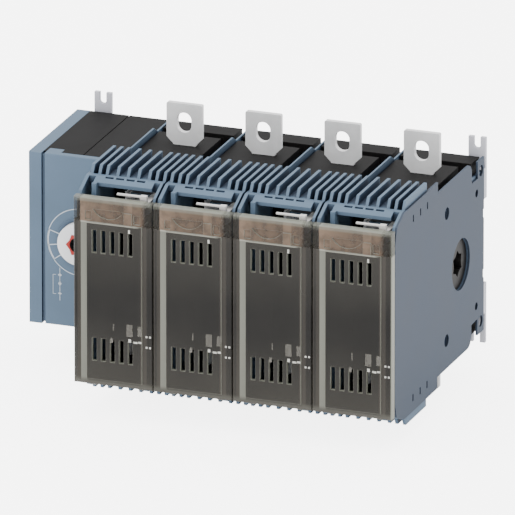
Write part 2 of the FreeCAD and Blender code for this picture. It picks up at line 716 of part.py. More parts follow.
def lower_right_wall(body):
    """Cuts the right wall down beside the base, so one ridge stands between two poles."""
    outside = dim.ridge_half_height + dim.overcut
    step = Profile(body, "WallStep", SIDE, bay_right)
    bottom = dim.side_channel_half_height
    for sign in (1, -1):
        step.rectangle(-dim.roof_start, dim.overcut, bottom * sign, outside * sign)
    pocket(body, step, dim.right_wall + dim.overcut)


def thin_ridge(body):
    """Thins the left wall above the base, which leaves a thin ridge with a groove beside it."""
    outside = dim.ridge_half_height + dim.overcut
    start = module_left + dim.ridge_thickness
    groove = Profile(body, "RidgeGroove", SIDE, start)
    bottom = dim.ridge_groove_half_height
    for sign in (1, -1):
        groove.rectangle(-dim.roof_start, dim.overcut, bottom * sign, outside * sign)
    pocket(body, groove, bay_left - start)


def add_fins(body):
    """Cuts the troughs and vent slots that leave nine fins, above and below."""
    half = dim.fin_thickness / 2
    inner, middle = dim.fin_inner_offset, dim.fin_middle_offset
    outer, edge = dim.fin_outer_offset, dim.fin_edge_offset
    front, back = -dim.trough_front, -(dim.roof_start - dim.overcut)
    troughs = Profile(body, "Troughs", TOP, outer_half_height)
    slots = Profile(body, "VentSlots", TOP, outer_half_height)
    slot_backs = Profile(body, "VentSlotBacks", TOP, outer_half_height)
    rebate = Profile(body, "Rebate", TOP, outer_half_height)
    dashes = Profile(body, "LintelGroove", TOP, outer_half_height)
    for sign in (1, -1):
        for left, right in ((half, inner - half), (inner + half, middle - half)):
            troughs.rectangle(left * sign, right * sign, front, back)
        for left, right in ((middle + half, outer - half), (outer + half, edge - half)):
            slots.rectangle(left * sign, right * sign, front, -dim.slot_start)
            slot_backs.rectangle(left * sign, right * sign, -(dim.slot_start + dim.overlap), back)
        for place in (inner / 2, (inner + middle) / 2):
            start = place - dim.dash_length / 2
            dashes.rectangle(
                start * sign,
                (start + dim.dash_length) * sign,
                -(dim.dash_start + dim.dash_width),
                -dim.dash_start,
            )
    rebate.rectangle(module_left - dim.overcut, -(edge + half), front, back)
    bottoms = (
        (troughs, dim.trough_half_height),
        (slots, dim.roof_underside - dim.overcut),
        (slot_backs, dim.slot_tie_half_height),
        (rebate, dim.housing_half_height),
        (dashes, dim.housing_half_height - dim.dash_depth),
    )
    features = [
        pocket(body, profile, outer_half_height - bottom, along=False)
        for profile, bottom in bottoms
    ]
    mirror(body, "LowerFins", features, TOP)


def add_hinge_lugs(body):
    """Adds the two lugs under the lintel that carry the cover's hinge pins."""
    start = dim.hinge_arm_offset + dim.hinge_arm_width / 2 + dim.side_gap
    eye = dim.hinge_eye_radius
    back = dim.roof_end - dim.overlap
    outline = [
        (back, -dim.hinge_lug_root),
        (dim.hinge_depth, -dim.hinge_drop + eye),
        (dim.hinge_depth, -dim.hinge_drop - eye),
        (back, -dim.hinge_drop - eye),
    ]
    features = []
    for name, shape in (("HingeArm", "arm"), ("HingeEye", "eye")):
        lug = Profile(body, name, SIDE, start)
        if shape == "arm":
            lug.polygon(side_points(outline))
        else:
            lug.circle(-dim.hinge_depth, -dim.hinge_drop, eye)
        features.append(pad(body, lug, dim.hinge_lug_width))
    mirror(body, "LeftHingeLug", features, SIDE)
    bore = Profile(body, "HingeBore", SIDE)
    bore.circle(-dim.hinge_depth, -dim.hinge_drop, dim.hinge_pin_radius + dim.running_gap)
    cut_through(body, bore)


def add_latch_rail(body):
    """Adds the two rails that hold the latch's foot from below and from above."""
    front, back = -(dim.latch_rail_start + dim.latch_rail_width), -dim.latch_rail_start
    low = dim.latch_bottom - dim.side_gap
    high = dim.latch_bottom + dim.latch_foot_height + dim.side_gap
    rails = Profile(body, "LatchRails", SIDE, ZERO)
    rails.rectangle(front, back, low - dim.latch_rail_height, low)
    rails.rectangle(front, back, high, high + dim.latch_rail_height)
    pad(body, rails, bay_right + dim.right_wall / 2)


def drill_side_walls(body):
    """Bores both side walls for the rotor and the tie rods, and cuts the snap windows."""
    bores = Profile(body, "SideBores", SIDE)
    bores.circle(-dim.shaft_depth, 0, rotor_bore)
    for depth, height, _, head_radius in rods:
        for sign in (1, -1):
            bores.circle(-depth, height * sign, head_radius + dim.head_gap)
    cut_through(body, bores)
    windows = Profile(body, "SnapWindows", SIDE, bay_right - dim.seat_gap)
    draw_snap_windows(windows)
    pocket(body, windows, dim.right_wall + dim.overcut)


def draw_snap_windows(profile):
    """Draws the small upright windows near the top and the bottom of the right side."""
    half_width, half_height = dim.snap_width / 2, dim.snap_height / 2
    for depth in (dim.snap_back_depth, dim.snap_middle_depth, dim.snap_front_depth):
        for sign in (1, -1):
            middle = dim.snap_half_height * sign
            profile.rectangle(
                -depth - half_width, -depth + half_width, middle - half_height, middle + half_height
            )


# Contact base

def make_pole_base(index):
    """The dark moulding that holds one pole's contacts and its rotor."""
    body = new_body(f"pole_base_{index + 1}", pole_centre(index))
    outline = [
        (0, dim.base_half_height),
        (dim.back_slot_start, dim.base_half_height),
        (dim.back_slot_start, dim.back_slot_half_height),
        (dim.back_slot_end, dim.back_slot_half_height),
        (dim.back_slot_end, dim.base_half_height),
        (base_front, dim.base_half_height),
    ]
    block = Profile(body, "Block", SIDE, base_left).polygon(side_points(both_halves(outline)))
    pad(body, block, base_right - base_left)
    bore = Profile(body, "RotorBore", SIDE)
    bore.circle(-dim.shaft_depth, 0, dim.rotor_radius + dim.side_gap)
    cut_through(body, bore)
    chamber = Profile(body, "ArcChamber", SIDE, -dim.chamber_width / 2)
    chamber.circle(-dim.shaft_depth, 0, dim.chamber_radius)
    pocket(body, chamber, dim.chamber_width)
    cut_terminal_channel(body)
    cut_knife_seats(body)
    cut_tail_channels(body)
    cut_side_channel(body)
    drill_base(body)
    return body


def cut_terminal_channel(body):
    """Cuts the upright channel that both terminals enter."""
    channel = Profile(body, "TerminalChannel", TOP)
    half = dim.terminal_neck / 2 + dim.seat_gap
    channel.rectangle(
        -half, half, -(dim.shaft_depth + dim.seat_gap), -(terminal_back - dim.seat_gap)
    )
    cut_through(body, channel)


def cut_knife_seats(body):
    """Cuts the seats for the terminals' knives beyond the arc chamber."""
    half = dim.knife_thickness / 2 + dim.seat_gap
    reach = dim.chamber_radius + dim.knife_seat + dim.seat_gap
    seat = Profile(body, "KnifeSeat", SIDE, -half)
    seat.rectangle(
        -(dim.shaft_depth + dim.knife_half_width + dim.seat_gap),
        -(dim.shaft_depth - dim.knife_half_width - dim.seat_gap),
        -reach,
        reach,
    )
    pocket(body, seat, half * 2)


def tail_outline(gap):
    """Outline of a jaw's tail, from its web to the knife at the arc chamber."""
    half = dim.knife_half_width + gap
    spread = dim.contact_spread
    return [
        around_shaft(dim.knife_start_radius, spread, -half),
        around_shaft(dim.chamber_radius, spread, -half),
        (base_front + dim.jaw_web / 2, dim.jaw_tail_bottom - gap),
        (base_front + dim.jaw_web / 2, dim.jaw_tail_top + gap),
        around_shaft(dim.chamber_radius, spread, half),
        around_shaft(dim.knife_start_radius, spread, half),
    ]


def cut_tail_channels(body):
    """Cuts the channels for the tails of both jaws."""
    half = dim.knife_thickness / 2 + dim.seat_gap
    channel = Profile(body, "TailChannel", SIDE, -half)
    channel.polygon(side_points(tail_outline(dim.seat_gap)))
    upper = pocket(body, channel, half * 2)
    mirror(body, "LowerTailChannel", [upper], TOP)


def cut_side_channel(body):
    """Cuts the dark recess beside the barrier ridge, at the top and the bottom."""
    recess = Profile(body, "SideChannel", TOP, dim.base_half_height + dim.overcut)
    recess.rectangle(
        base_right - dim.side_channel_width,
        base_right + dim.overcut,
        -(base_front + dim.overcut),
        -(dim.back_slot_end - dim.overlap),
    )
    depth = dim.base_half_height + dim.overcut - dim.side_channel_half_height
    upper = pocket(body, recess, depth, along=False)
    mirror(body, "LowerSideChannel", [upper], TOP)


def drill_base(body):
    """Bores the base for the tie rods, with sinks for their heads at the right."""
    bores = Profile(body, "RodBores", SIDE)
    sinks = Profile(body, "HeadSinks", SIDE, base_right - dim.rod_head_height - dim.seat_gap)
    for depth, height, radius, head_radius in rods:
        for sign in (1, -1):
            bores.circle(-depth, height * sign, radius + dim.seat_gap)
            sinks.circle(-depth, height * sign, head_radius + dim.head_gap)
    cut_through(body, bores)
    pocket(body, sinks, dim.rod_head_height + dim.seat_gap + dim.overcut)


# Contacts

def make_terminal(upper):
    """A terminal blade with its slotted hole and the knife at its inner end."""
    name = "upper" if upper else "lower"
    body = new_body(f"{name}_terminal_1", pole_centre(FIRST), flipped=not upper)
    neck = dim.terminal_neck / 2
    half = dim.terminal_width / 2
    shoulder = dim.terminal_neck_end + (half - neck)
    right_half = [
        (neck, dim.neck_start),
        (neck, dim.terminal_neck_end),
        (half, shoulder),
        (half, dim.terminal_tip),
    ]
    outline = right_half + [(-across, up) for across, up in reversed(right_half)]
    blade = Profile(body, "Blade", FRONT, terminal_back).polygon(outline)
    pad(body, blade, dim.terminal_thickness)
    knife = Profile(body, "Knife", SIDE, -dim.knife_thickness / 2)
    knife.rectangle(
        -(dim.shaft_depth + dim.knife_half_width),
        -(dim.shaft_depth - dim.knife_half_width),
        dim.knife_start_radius,
        dim.chamber_radius + dim.knife_seat,
    )
    pad(body, knife, dim.knife_thickness)
    radius = dim.terminal_slot_width / 2
    slot = Profile(body, "BoltSlot", FRONT)
    slot.upright_slot(ZERO, dim.terminal_slot_height, dim.terminal_slot_length / 2 - radius, radius)
    cut_through(body, slot)
    middle = -(terminal_back + dim.terminal_thickness / 2)
    corners = [(half * sign, middle, dim.terminal_tip) for sign in (1, -1)]
    round_edges(body, "TipCorners", dim.terminal_corner, corners)
    return body


def make_jaw(upper):
    """A fuse jaw: two spring leaves on a web, with a tail back to the arc chamber."""
    name = "upper" if upper else "lower"
    body = new_body(f"{name}_jaw_1", pole_centre(FIRST), flipped=not upper)
    wide = dim.jaw_half_width
    metal = dim.jaw_metal
    web_front = base_front + dim.jaw_web
    right_half = [
        (wide, base_front),
        (wide, dim.jaw_shoulder_depth),
        (dim.jaw_pinch + metal, dim.jaw_pinch_depth),
        (dim.jaw_mouth + metal, dim.jaw_mouth_depth),
        (dim.jaw_mouth, dim.jaw_mouth_depth),
        (dim.jaw_pinch, dim.jaw_pinch_depth),
        (wide - metal, dim.jaw_shoulder_depth),
        (wide - metal, web_front),
    ]
    outline = [(across, -depth) for across, depth in right_half]
    outline += [(-across, up) for across, up in reversed(outline)]
    clip = Profile(body, "Clip", TOP, dim.jaw_bottom).polygon(outline)
    pad(body, clip, dim.jaw_top - dim.jaw_bottom)
    tail = Profile(body, "Tail", SIDE, -dim.knife_thickness / 2)
    tail.polygon(side_points(tail_outline(ZERO)))
    pad(body, tail, dim.knife_thickness)
    return body


def make_rotor():
    """The drum on the main shaft that carries one pole's bridging contacts."""
    body = new_body("contact_rotor_1", pole_centre(FIRST), dim.shaft_depth)
    drum = Profile(body, "Drum", SIDE, rotor_left).circle(0, 0, dim.rotor_radius)
    pad(body, drum, rotor_right - rotor_left)
    width = dim.contact_plate + dim.seat_gap
    start = dim.knife_thickness / 2 + dim.side_gap - dim.seat_gap / 2
    groove = Profile(body, "ContactGroove", SIDE, start)
    groove.circle(0, 0, dim.rotor_radius + dim.overcut).circle(0, 0, dim.rotor_groove_radius)
    right = pocket(body, groove, width)
    mirror(body, "LeftContactGroove", [right], SIDE)
    bore = Profile(body, "SquareBore", SIDE)
    half = dim.shaft_square / 2 + dim.running_gap
    bore.rectangle(-half, half, -half, half)
    cut_through(body, bore)
    socket = Profile(body, "StarSocket", SIDE, rotor_right)
    socket.polygon(star_points(dim.star_tip_radius, dim.star_root_radius))
    pocket(body, socket, dim.rotor_socket_depth, along=False)
    return body


def make_moving_contacts():
    """Two bridging contacts, each a pair of plates that straddle the fixed knives."""
    body = new_body("moving_contacts_1", pole_centre(FIRST))
    start = dim.knife_thickness / 2 + dim.side_gap
    plates = Profile(body, "Plates", SIDE, start)
    tip = dim.contact_tip_radius
    seat = dim.rotor_groove_radius + dim.side_gap
    valley = dim.knife_start_radius
    half = dim.contact_arm_half_angle
    spread = dim.contact_spread / 2
    for middle in (spread - dim.switch_angle, dim.contact_spread * 2 + spread - dim.switch_angle):
        polar = [
            (seat, -spread - half),
            (tip, -spread - half),
            (tip, -spread + half),
            (valley, -spread / 2),
            (valley, spread / 2),
            (tip, spread - half),
            (tip, spread + half),
            (seat, spread + half),
            (seat, spread / 2),
            (seat, ZERO),
            (seat, -spread / 2),
        ]
        plates.polygon(side_points([around_shaft(radius, middle + angle) for radius, angle in polar]))
    right = pad(body, plates, dim.contact_plate)
    mirror(body, "LeftPlates", [right], SIDE)
    return body


# Cover and latch

def make_cover():
    """The tinted cover of one fuse, hinged at its lower edge."""
    body = new_body("fuse_cover_1", pole_centre(FIRST))
    half, wide, skin = dim.cover_half_height, dim.cover_half_width, dim.cover_skin
    shell = Profile(body, "Shell", FRONT, cover_back).rectangle(-wide, wide, -half, half)
    pad(body, shell, dim.cover_height)
    rim = [
        (-wide, -cover_face, ZERO),
        (wide, -cover_face, ZERO),
        (ZERO, -cover_face, half),
        (ZERO, -cover_face, -half),
    ]
    round_edges(body, "Rim", dim.cover_rounding, rim)
    hollow = Profile(body, "Hollow", FRONT, cover_back)
    hollow.rectangle(-wide + skin, wide - skin, -half + skin, half - skin)
    pocket(body, hollow, dim.cover_height - skin)
    add_panel(body)
    sink_grip(body)
    add_skirts(body)
    cut_vents(body)
    add_hinge_arms(body)
    return body


def add_panel(body):
    """Raises the panel and the tab above it out of the cover's face."""
    panel = Profile(body, "Panel", FRONT, cover_face)
    panel.polygon([
        (-dim.panel_left, -dim.panel_bottom),
        (dim.panel_right, -dim.panel_bottom),
        (dim.panel_right, dim.panel_top),
        (dim.tab_right, dim.panel_top),
        (dim.tab_right, dim.tab_top),
        (dim.tab_left, dim.tab_top),
        (dim.tab_left, dim.panel_top),
        (-dim.panel_left, dim.panel_top),
    ])
    pad(body, panel, dim.panel_rise)


def sink_grip(body):
    """Sinks the finger grip and the two shallow cells beside it into the cover's face."""
    grip = Profile(body, "FingerGrip", FRONT, cover_face)
    grip.bowl(-dim.grip_shift, dim.grip_top, dim.grip_bottom, dim.grip_half_width)
    start = dim.tab_right + dim.cell_gap
    grip.rectangle(start, start + dim.cell_width, dim.cell_bottom, dim.cell_top)
    end = -(dim.grip_shift + dim.grip_half_width + dim.cell_gap)
    grip.rectangle(end - dim.cell_width, end, dim.cell_bottom, dim.cell_top)
    pocket(body, grip, dim.grip_sink, along=False)


def add_skirts(body):
    """Adds the two skirts that reach from the cover into the housing."""
    length = cover_face - dim.cover_skin / 2 - dim.skirt_back
    skirts = Profile(body, "Skirts", FRONT, dim.skirt_back)
    for start in (-dim.skirt_left - dim.skirt_thickness, dim.skirt_right - dim.skirt_thickness):
        skirts.rectangle(start, start + dim.skirt_thickness, -dim.skirt_bottom, dim.panel_top)
    pad(body, skirts, length)


def cut_vents(body):
    """Cuts five upright vents near the top of the panel and five near its bottom."""
    vents = Profile(body, "Vents", FRONT)
    half = dim.vent_width / 2
    for column in VENT_COLUMNS:
        middle = dim.vent_pitch * column - dim.vent_shift
        vents.rectangle(middle - half, middle + half, dim.vent_top - dim.vent_length, dim.vent_top)
        vents.rectangle(
            middle - half, middle + half, -dim.vent_bottom, -dim.vent_bottom + dim.vent_length
        )
    cut_through(body, vents)


def add_hinge_arms(body):
    """Adds the two arms, with pins, that reach down from the cover to its hinge."""
    eye = dim.hinge_eye_radius
    start = dim.hinge_arm_offset - dim.hinge_arm_width / 2
    root = cover_back + dim.cover_skin
    outline = [
        (root, -dim.hinge_arm_root),
        (root, -dim.hinge_arm_end),
        (dim.hinge_depth, -dim.hinge_drop - eye),
        (dim.hinge_depth, -dim.hinge_drop + eye),
        (cover_back, -dim.hinge_arm_root),
    ]
    arm = Profile(body, "HingeArm", SIDE, start).polygon(side_points(outline))
    barrel = Profile(body, "HingeBarrel", SIDE, start)
    barrel.circle(-dim.hinge_depth, -dim.hinge_drop, eye)
    pin = Profile(body, "HingePin", SIDE, start)
    pin.circle(-dim.hinge_depth, -dim.hinge_drop, dim.hinge_pin_radius)
    features = [
        pad(body, arm, dim.hinge_arm_width),
        pad(body, barrel, dim.hinge_arm_width),
        pad(body, pin, dim.hinge_arm_width + dim.side_gap + dim.hinge_pin_length),
    ]
    mirror(body, "LeftHingeArm", features, SIDE)


def make_latch():
    """The white slide above one cover that releases it."""
    body = new_body("cover_latch_1", pole_centre(FIRST))
    button = Profile(body, "Button", FRONT, dim.latch_back)
    button.rectangle(dim.latch_left, dim.latch_right, dim.latch_bottom, dim.latch_top)
    pad(body, button, dim.latch_front - dim.latch_back)
    bar = Profile(body, "Bar", FRONT, dim.latch_front - dim.latch_bar_depth)
    bar.rectangle(
        dim.latch_left - dim.latch_bar_reach,
        dim.latch_left + dim.overlap,
        dim.latch_top - dim.latch_bar_height,
        dim.latch_top,
    )
    pad(body, bar, dim.latch_bar_depth)
    foot_top = dim.latch_bottom + dim.latch_foot_height
    foot = Profile(body, "Foot", FRONT, dim.latch_foot_start)
    foot.rectangle(dim.latch_left, dim.latch_right, dim.latch_bottom, foot_top)
    pad(body, foot, dim.latch_back + dim.overlap - dim.latch_foot_start)
    return body


# Right end plate

def make_end_plate():
    """The thin plate that closes the last pole's right side."""
    body = new_body("end_plate", right_edge)
    outline = [
        (0, dim.back_strip_half_height),
        (dim.plate_slot_start, dim.back_strip_half_height),
        (dim.plate_slot_start, dim.back_slot_half_height),
        (dim.back_slot_end, dim.back_slot_half_height),
        (dim.back_slot_end, dim.ridge_half_height),
        (dim.step_depth, dim.ridge_half_height),
        (dim.step_depth, dim.housing_half_height),
        (dim.shoulder_depth, dim.housing_half_height),
        (dim.brow_depth, dim.brow_half_height),
        (dim.cheek_depth, dim.cheek_half_height),
        (dim.housing_depth, dim.front_edge_half_height),
    ]
    plate = Profile(body, "Plate", SIDE, -dim.end_plate).polygon(side_points(both_halves(outline)))
    pad(body, plate, dim.end_plate)
    middle = -dim.end_plate / 2
    corners = [(middle, -dim.back_slot_end, dim.ridge_half_height * sign) for sign in (1, -1)]
    round_edges(body, "NotchCorners", dim.plate_corner, corners)
    holes = Profile(body, "Holes", SIDE)
    holes.circle(-dim.shaft_depth, 0, rotor_bore)
    for depth, height, _, head_radius in rods:
        for sign in (1, -1):
            holes.circle(-depth, height * sign, head_radius + dim.head_gap)
    draw_snap_windows(holes)
    for sign in (1, -1):
        holes.circle(-dim.corner_hole_depth, dim.corner_hole_height * sign, dim.corner_hole_radius)
        middle = dim.notch_half_height * sign
        holes.rectangle(
            -dim.notch_depth,
            dim.overcut,
            middle - dim.notch_height / 2,
            middle + dim.notch_height / 2,
        )
    cut_through(body, holes)
    return body


# Tie rods

def make_tie_rods():
    """Four long screws that clamp the poles to the mechanism."""
    body = new_body("tie_rods", pole_centre(LAST))
    head_back = base_right - dim.rod_head_height
    start = left_edge + dim.mechanism_width - dim.shell_wall - pole_centre(LAST)
    shanks = Profile(body, "Shanks", SIDE, start)
    heads = Profile(body, "Heads", SIDE, head_back)
    sockets = Profile(body, "Sockets", SIDE, head_back + dim.rod_head_height)
    for depth, height, radius, head_radius in rods:
        for sign in (1, -1):
            shanks.circle(-depth, height * sign, radius)
            heads.circle(-depth, height * sign, head_radius)
            sockets.polygon(hexagon(-depth, height * sign, radius))
    pad(body, shanks, head_back - start + dim.overlap)
    pad(body, heads, dim.rod_head_height)
    pocket(body, sockets, dim.rod_head_height / 2, along=False)
    return body


def hexagon(across, up, radius):
    """Outline of a hexagon about a point."""
    turns = [FULL_TURN / HEXAGON * i for i in range(HEXAGON)]
    return [(across + radius * sine(turn), up + radius * cosine(turn)) for turn in turns]


# Mechanism

def make_side_plate():
    """The moulded plate at the unit's left side, open towards the mechanism."""
    body = new_body("mechanism_side_plate", left_edge)
    half = dim.mechanism_half_height
    block = Profile(body, "Block", SIDE)
    block.rectangle(-dim.mechanism_depth, 0, -half, half)
    pad(body, block, dim.side_plate_width)
    front = -dim.mechanism_depth
    round_edges(body, "FrontEdge", dim.edge_rounding, [(ZERO, front, ZERO)])
    wall = dim.shell_wall
    hollow = Profile(body, "Hollow", SIDE, dim.side_plate_width)
    hollow.rectangle(-dim.mechanism_depth + wall, -wall, -half + wall, half - wall)
    pocket(body, hollow, dim.side_plate_width - wall, along=False)
    return body


def make_mechanism_base():
    """The dark box that carries the rack drive and the shaft's first bearing."""
    body = new_body("mechanism_base", left_edge)
    half = dim.mechanism_half_height
    wall = dim.shell_wall
    left = dim.side_plate_width + dim.module_gap
    right = dim.mechanism_width - dim.module_gap
    front = dim.mechanism_depth - dim.panel_rim - dim.seat_gap
    block = Profile(body, "Block", SIDE, left).rectangle(-front, 0, -half, half)
    pad(body, block, right - left)
    hollow = Profile(body, "Hollow", FRONT, wall)
    hollow.rectangle(left + wall, right - wall, -half + wall, half - wall)
    pocket(body, hollow, front)
    seam = Profile(body, "Seam", TOP, half)
    seam_end = dim.spindle_offset + dim.seam_width
    seam.rectangle(dim.spindle_offset, seam_end, -front - dim.overcut, dim.overcut)
    upper = pocket(body, seam, dim.seam_depth, along=False)
    mirror(body, "LowerSeam", [upper], TOP)
    seat = Profile(body, "HookSeat", FRONT, dim.mechanism_depth - dim.hook_depth - dim.seat_gap)
    hook_left = dim.side_plate_width + dim.front_groove
    seat.rectangle(
        hook_left - dim.seat_gap,
        hook_left + dim.hook_width + dim.seat_gap,
        half - dim.hook_thickness - dim.seat_gap,
        half + dim.overcut,
    )
    pocket(body, seat, dim.hook_depth)
    add_bearings(body, left)
    add_slider_guide(body)
    drill_mechanism(body)
    return body


def add_bearings(body, left):
    """Adds the web behind the spindle and the pillar for the shaft's journal."""
    reach = dim.mechanism_half_height - dim.overlap
    web = Profile(body, "BearingWeb", FRONT, dim.web_depth)
    web.rectangle(left + dim.overlap, dim.web_end, -reach, reach)
    pad(body, web, dim.web_thickness)
    pillar = Profile(body, "BearingPillar", SIDE, dim.web_end - dim.pillar_width)
    half = dim.pillar_half_height
    pillar.rectangle(-dim.pillar_front, -dim.overlap, -half, half)
    pad(body, pillar, dim.pillar_width)


def guide_place():
    """Left-edge offset of the wall beside the rack slider."""
    return slider_left() + dim.slider_width + dim.side_gap


def slider_left():
    """Left-edge offset of the roots of the slider's spindle rack."""
    return dim.spindle_offset + pitch_radius(dim.pinion_teeth) + dim.tooth_foot * dim.gear_module


def pitch_radius(teeth):
    """Pitch radius of a wheel with so many teeth."""
    return teeth * dim.gear_module / 2


def shaft_rack_root():
    """Depth of the roots of the slider's shaft rack."""
    return dim.shaft_depth + pitch_radius(dim.sector_full_teeth) + dim.tooth_foot * dim.gear_module


def add_slider_guide(body):
    """Adds the wall, the front lip and the two keepers that guide the rack slider."""
    half = dim.mechanism_half_height - dim.overlap
    start = guide_place()
    lip_back = dim.slider_front + dim.side_gap
    wall = Profile(body, "GuideWall", SIDE, start)
    wall.rectangle(-(lip_back + dim.guide_lip), -dim.overlap, -half, half)
    pad(body, wall, dim.guide_wall)
    reach = dim.slider_width / 2
    lip = Profile(body, "GuideLip", FRONT, lip_back)
    lip.rectangle(start - reach, start + dim.guide_wall, -half, half)
    pad(body, lip, dim.guide_lip)
    keeper_front = shaft_rack_root() - dim.side_gap
    keepers = Profile(body, "Keepers", FRONT, keeper_front - dim.guide_lip)
    for sign in (1, -1):
        near = dim.guide_keeper_height * sign
        far = (dim.guide_keeper_height + dim.guide_keeper_length) * sign
        keepers.rectangle(start - reach, start + dim.overlap, near, far)
    pad(body, keepers, dim.guide_lip)


def drill_mechanism(body):
    """Bores the mechanism for its spindle, its shaft and the tie rods."""
    spindle = Profile(body, "SpindleBore", FRONT, dim.web_depth - dim.overcut)
    spindle.circle(dim.spindle_offset, 0, dim.spindle_radius + dim.running_gap)
    pocket(body, spindle, dim.web_thickness + 2 * dim.overcut)
    journal = Profile(body, "JournalBore", SIDE, dim.web_end - dim.pillar_width - dim.overcut)
    journal.circle(-dim.shaft_depth, 0, dim.journal_radius + dim.running_gap)
    pocket(body, journal, dim.pillar_width + 2 * dim.overcut)
    passage = Profile(body, "ShaftPassage", SIDE, guide_place() - dim.overcut)
    passage.circle(-dim.shaft_depth, 0, dim.passage_radius)
    pocket(body, passage, dim.mechanism_width - guide_place() + 2 * dim.overcut)
    bores = Profile(body, "RodBores", SIDE, guide_place() + dim.guide_wall + dim.side_gap)
    for depth, height, radius, _ in rods:
        for sign in (1, -1):
            bores.circle(-depth, height * sign, radius + dim.seat_gap)
    pocket(body, bores, dim.mechanism_width)


def make_mechanism_cover():
    """The blue front panel of the mechanism, a shallow tray with the disc's hole."""
    body = new_body("mechanism_cover", left_edge)
    half = dim.mechanism_half_height
    wall = dim.shell_wall
    left = dim.side_plate_width + dim.front_groove
    right = dim.mechanism_width - dim.module_gap
    back = dim.mechanism_depth - dim.panel_rim
    block = Profile(body, "Block", FRONT, back).rectangle(left, right, -half, half)
    pad(body, block, dim.panel_rim)
    middle = (left + right) / 2
    front = -dim.mechanism_depth
    rim = [(left, front, ZERO), (middle, front, half), (middle, front, -half)]
    round_edges(body, "FrontEdges", dim.edge_rounding, rim)
    hollow = Profile(body, "Hollow", FRONT, back)
    hollow.rectangle(left + wall, right - wall, -half + wall, half - wall)
    pocket(body, hollow, dim.panel_rim - wall)
    hook = Profile(body, "Hook", FRONT, dim.mechanism_depth - dim.hook_depth)
    hook.rectangle(left, left + dim.hook_width, half - dim.hook_thickness, half)
    pad(body, hook, dim.hook_depth - dim.panel_rim + dim.overlap)
    hole = Profile(body, "DiscHole", FRONT)
    hole.circle(dim.spindle_offset, 0, dim.disc_radius + dim.running_gap)
    cut_through(body, hole)
    return body


# Rack drive

def tooth_head_outline(pitch_line):
    """The part of an upright tooth above its pitch line, as half widths and heights."""
    head_height = dim.tooth_head * dim.gear_module
    pitch_half = dim.gear_module * math.pi / 4 - dim.backlash / 4
    head_half = pitch_half - tangent(dim.flank_angle) * head_height
    return pitch_half, head_half, pitch_line + head_height


def rack_tooth(pitch_line, base_line):
    """A rack's tooth, with straight flanks from a base line to its head."""
    pitch_half, head_half, head = tooth_head_outline(pitch_line)
    base_half = pitch_half + tangent(dim.flank_angle) * (pitch_line - base_line)
    return [(base_half, base_line), (head_half, head), (-head_half, head), (-base_half, base_line)]


def wheel_tooth(pitch_line, base_line):
    """A wheel's tooth, with upright flanks below the pitch line to clear a rack's heads."""
    pitch_half, head_half, head = tooth_head_outline(pitch_line)
    right = [(pitch_half, base_line), (pitch_half, pitch_line), (head_half, head)]
    return right + [(-across, up) for across, up in reversed(right)]


def make_drive_spindle():
    """The short spindle that the handle turns."""
    body = new_body("drive_spindle", left_edge + dim.spindle_offset)
    front = disc_back()
    rod = Profile(body, "Rod", FRONT, dim.spindle_back).circle(0, 0, dim.spindle_radius)
    pad(body, rod, front - dim.spindle_back)
    half = dim.handle_socket / 2
    socket = Profile(body, "HandleSocket", FRONT, front).rectangle(-half, half, -half, half)
    pocket(body, socket, dim.spindle_radius, along=False)
    return body


def disc_back():
    """Depth of the drive disc's back face."""
    return dim.mechanism_depth + dim.disc_proud - dim.disc_thickness


def make_drive_disc():
    """The white disc round the handle's socket."""
    body = new_body("drive_disc", left_edge + dim.spindle_offset)
    disc = Profile(body, "Disc", FRONT, disc_back()).circle(0, 0, dim.disc_radius)
    pad(body, disc, dim.disc_thickness)
    seat = Profile(body, "InsertSeat", FRONT)
    gap = dim.seat_gap
    seat.polygon(star_points(dim.insert_tip_radius + gap, dim.insert_root_radius + gap))
    cut_through(body, seat)
    return body


def make_star_insert():
    """The red star in the drive disc, with the handle's socket through it."""
    body = new_body("star_insert", left_edge + dim.spindle_offset)
    star = Profile(body, "Star", FRONT, disc_back())
    star.polygon(star_points(dim.insert_tip_radius, dim.insert_root_radius))
    pad(body, star, dim.disc_thickness + dim.disc_proud)
    socket = Profile(body, "Socket", FRONT).circle(0, 0, dim.insert_bore)
    cut_through(body, socket)
    return body


def make_spindle_pinion():
    """The pinion on the drive spindle, with a gap between teeth facing the rack."""
    body = new_body("spindle_pinion", left_edge + dim.spindle_offset)
    radius = pitch_radius(dim.pinion_teeth)
    root = radius - dim.tooth_foot * dim.gear_module
    core = Profile(body, "Core", FRONT, dim.pinion_back).circle(0, 0, root)
    pad(body, core, dim.pinion_width)
    tooth = Profile(body, "Tooth", FRONT, dim.pinion_back)
    outline = wheel_tooth(radius, root - dim.tooth_bury)
    tooth.polygon(turned(outline, HALF_TURN / dim.pinion_teeth - QUARTER_TURN))
    first = pad(body, tooth, dim.pinion_width)
    around(body, "Teeth", first, "Y_Axis", dim.pinion_teeth, FULL_TURN)
    bore = Profile(body, "Bore", FRONT).circle(0, 0, dim.spindle_radius + dim.running_gap)
    cut_through(body, bore)
    return body


def turned(outline, angle):
    """Turns an outline anticlockwise about the sketch's origin."""
    across, up = cosine(angle), sine(angle)
    return [
        (as_size(x) * across - as_size(y) * up, as_size(x) * up + as_size(y) * across)
        for x, y in outline
    ]


def around(body, name, original, axis, count, angle, back=False):
    """Repeats a feature about one of the body's own axes."""
    feature = body.newObject("PartDesign::PolarPattern", name)
    feature.Originals = [original]
    feature.Axis = (origin_feature(body, axis), [""])
    angle = as_size(angle)
    feature.Angle = angle.value
    feature.setExpression("Angle", angle.text)
    feature.Occurrences = int(count.value)
    feature.setExpression("Occurrences", count.text)
    feature.Reversed = back
    body.Tip = feature
    return feature


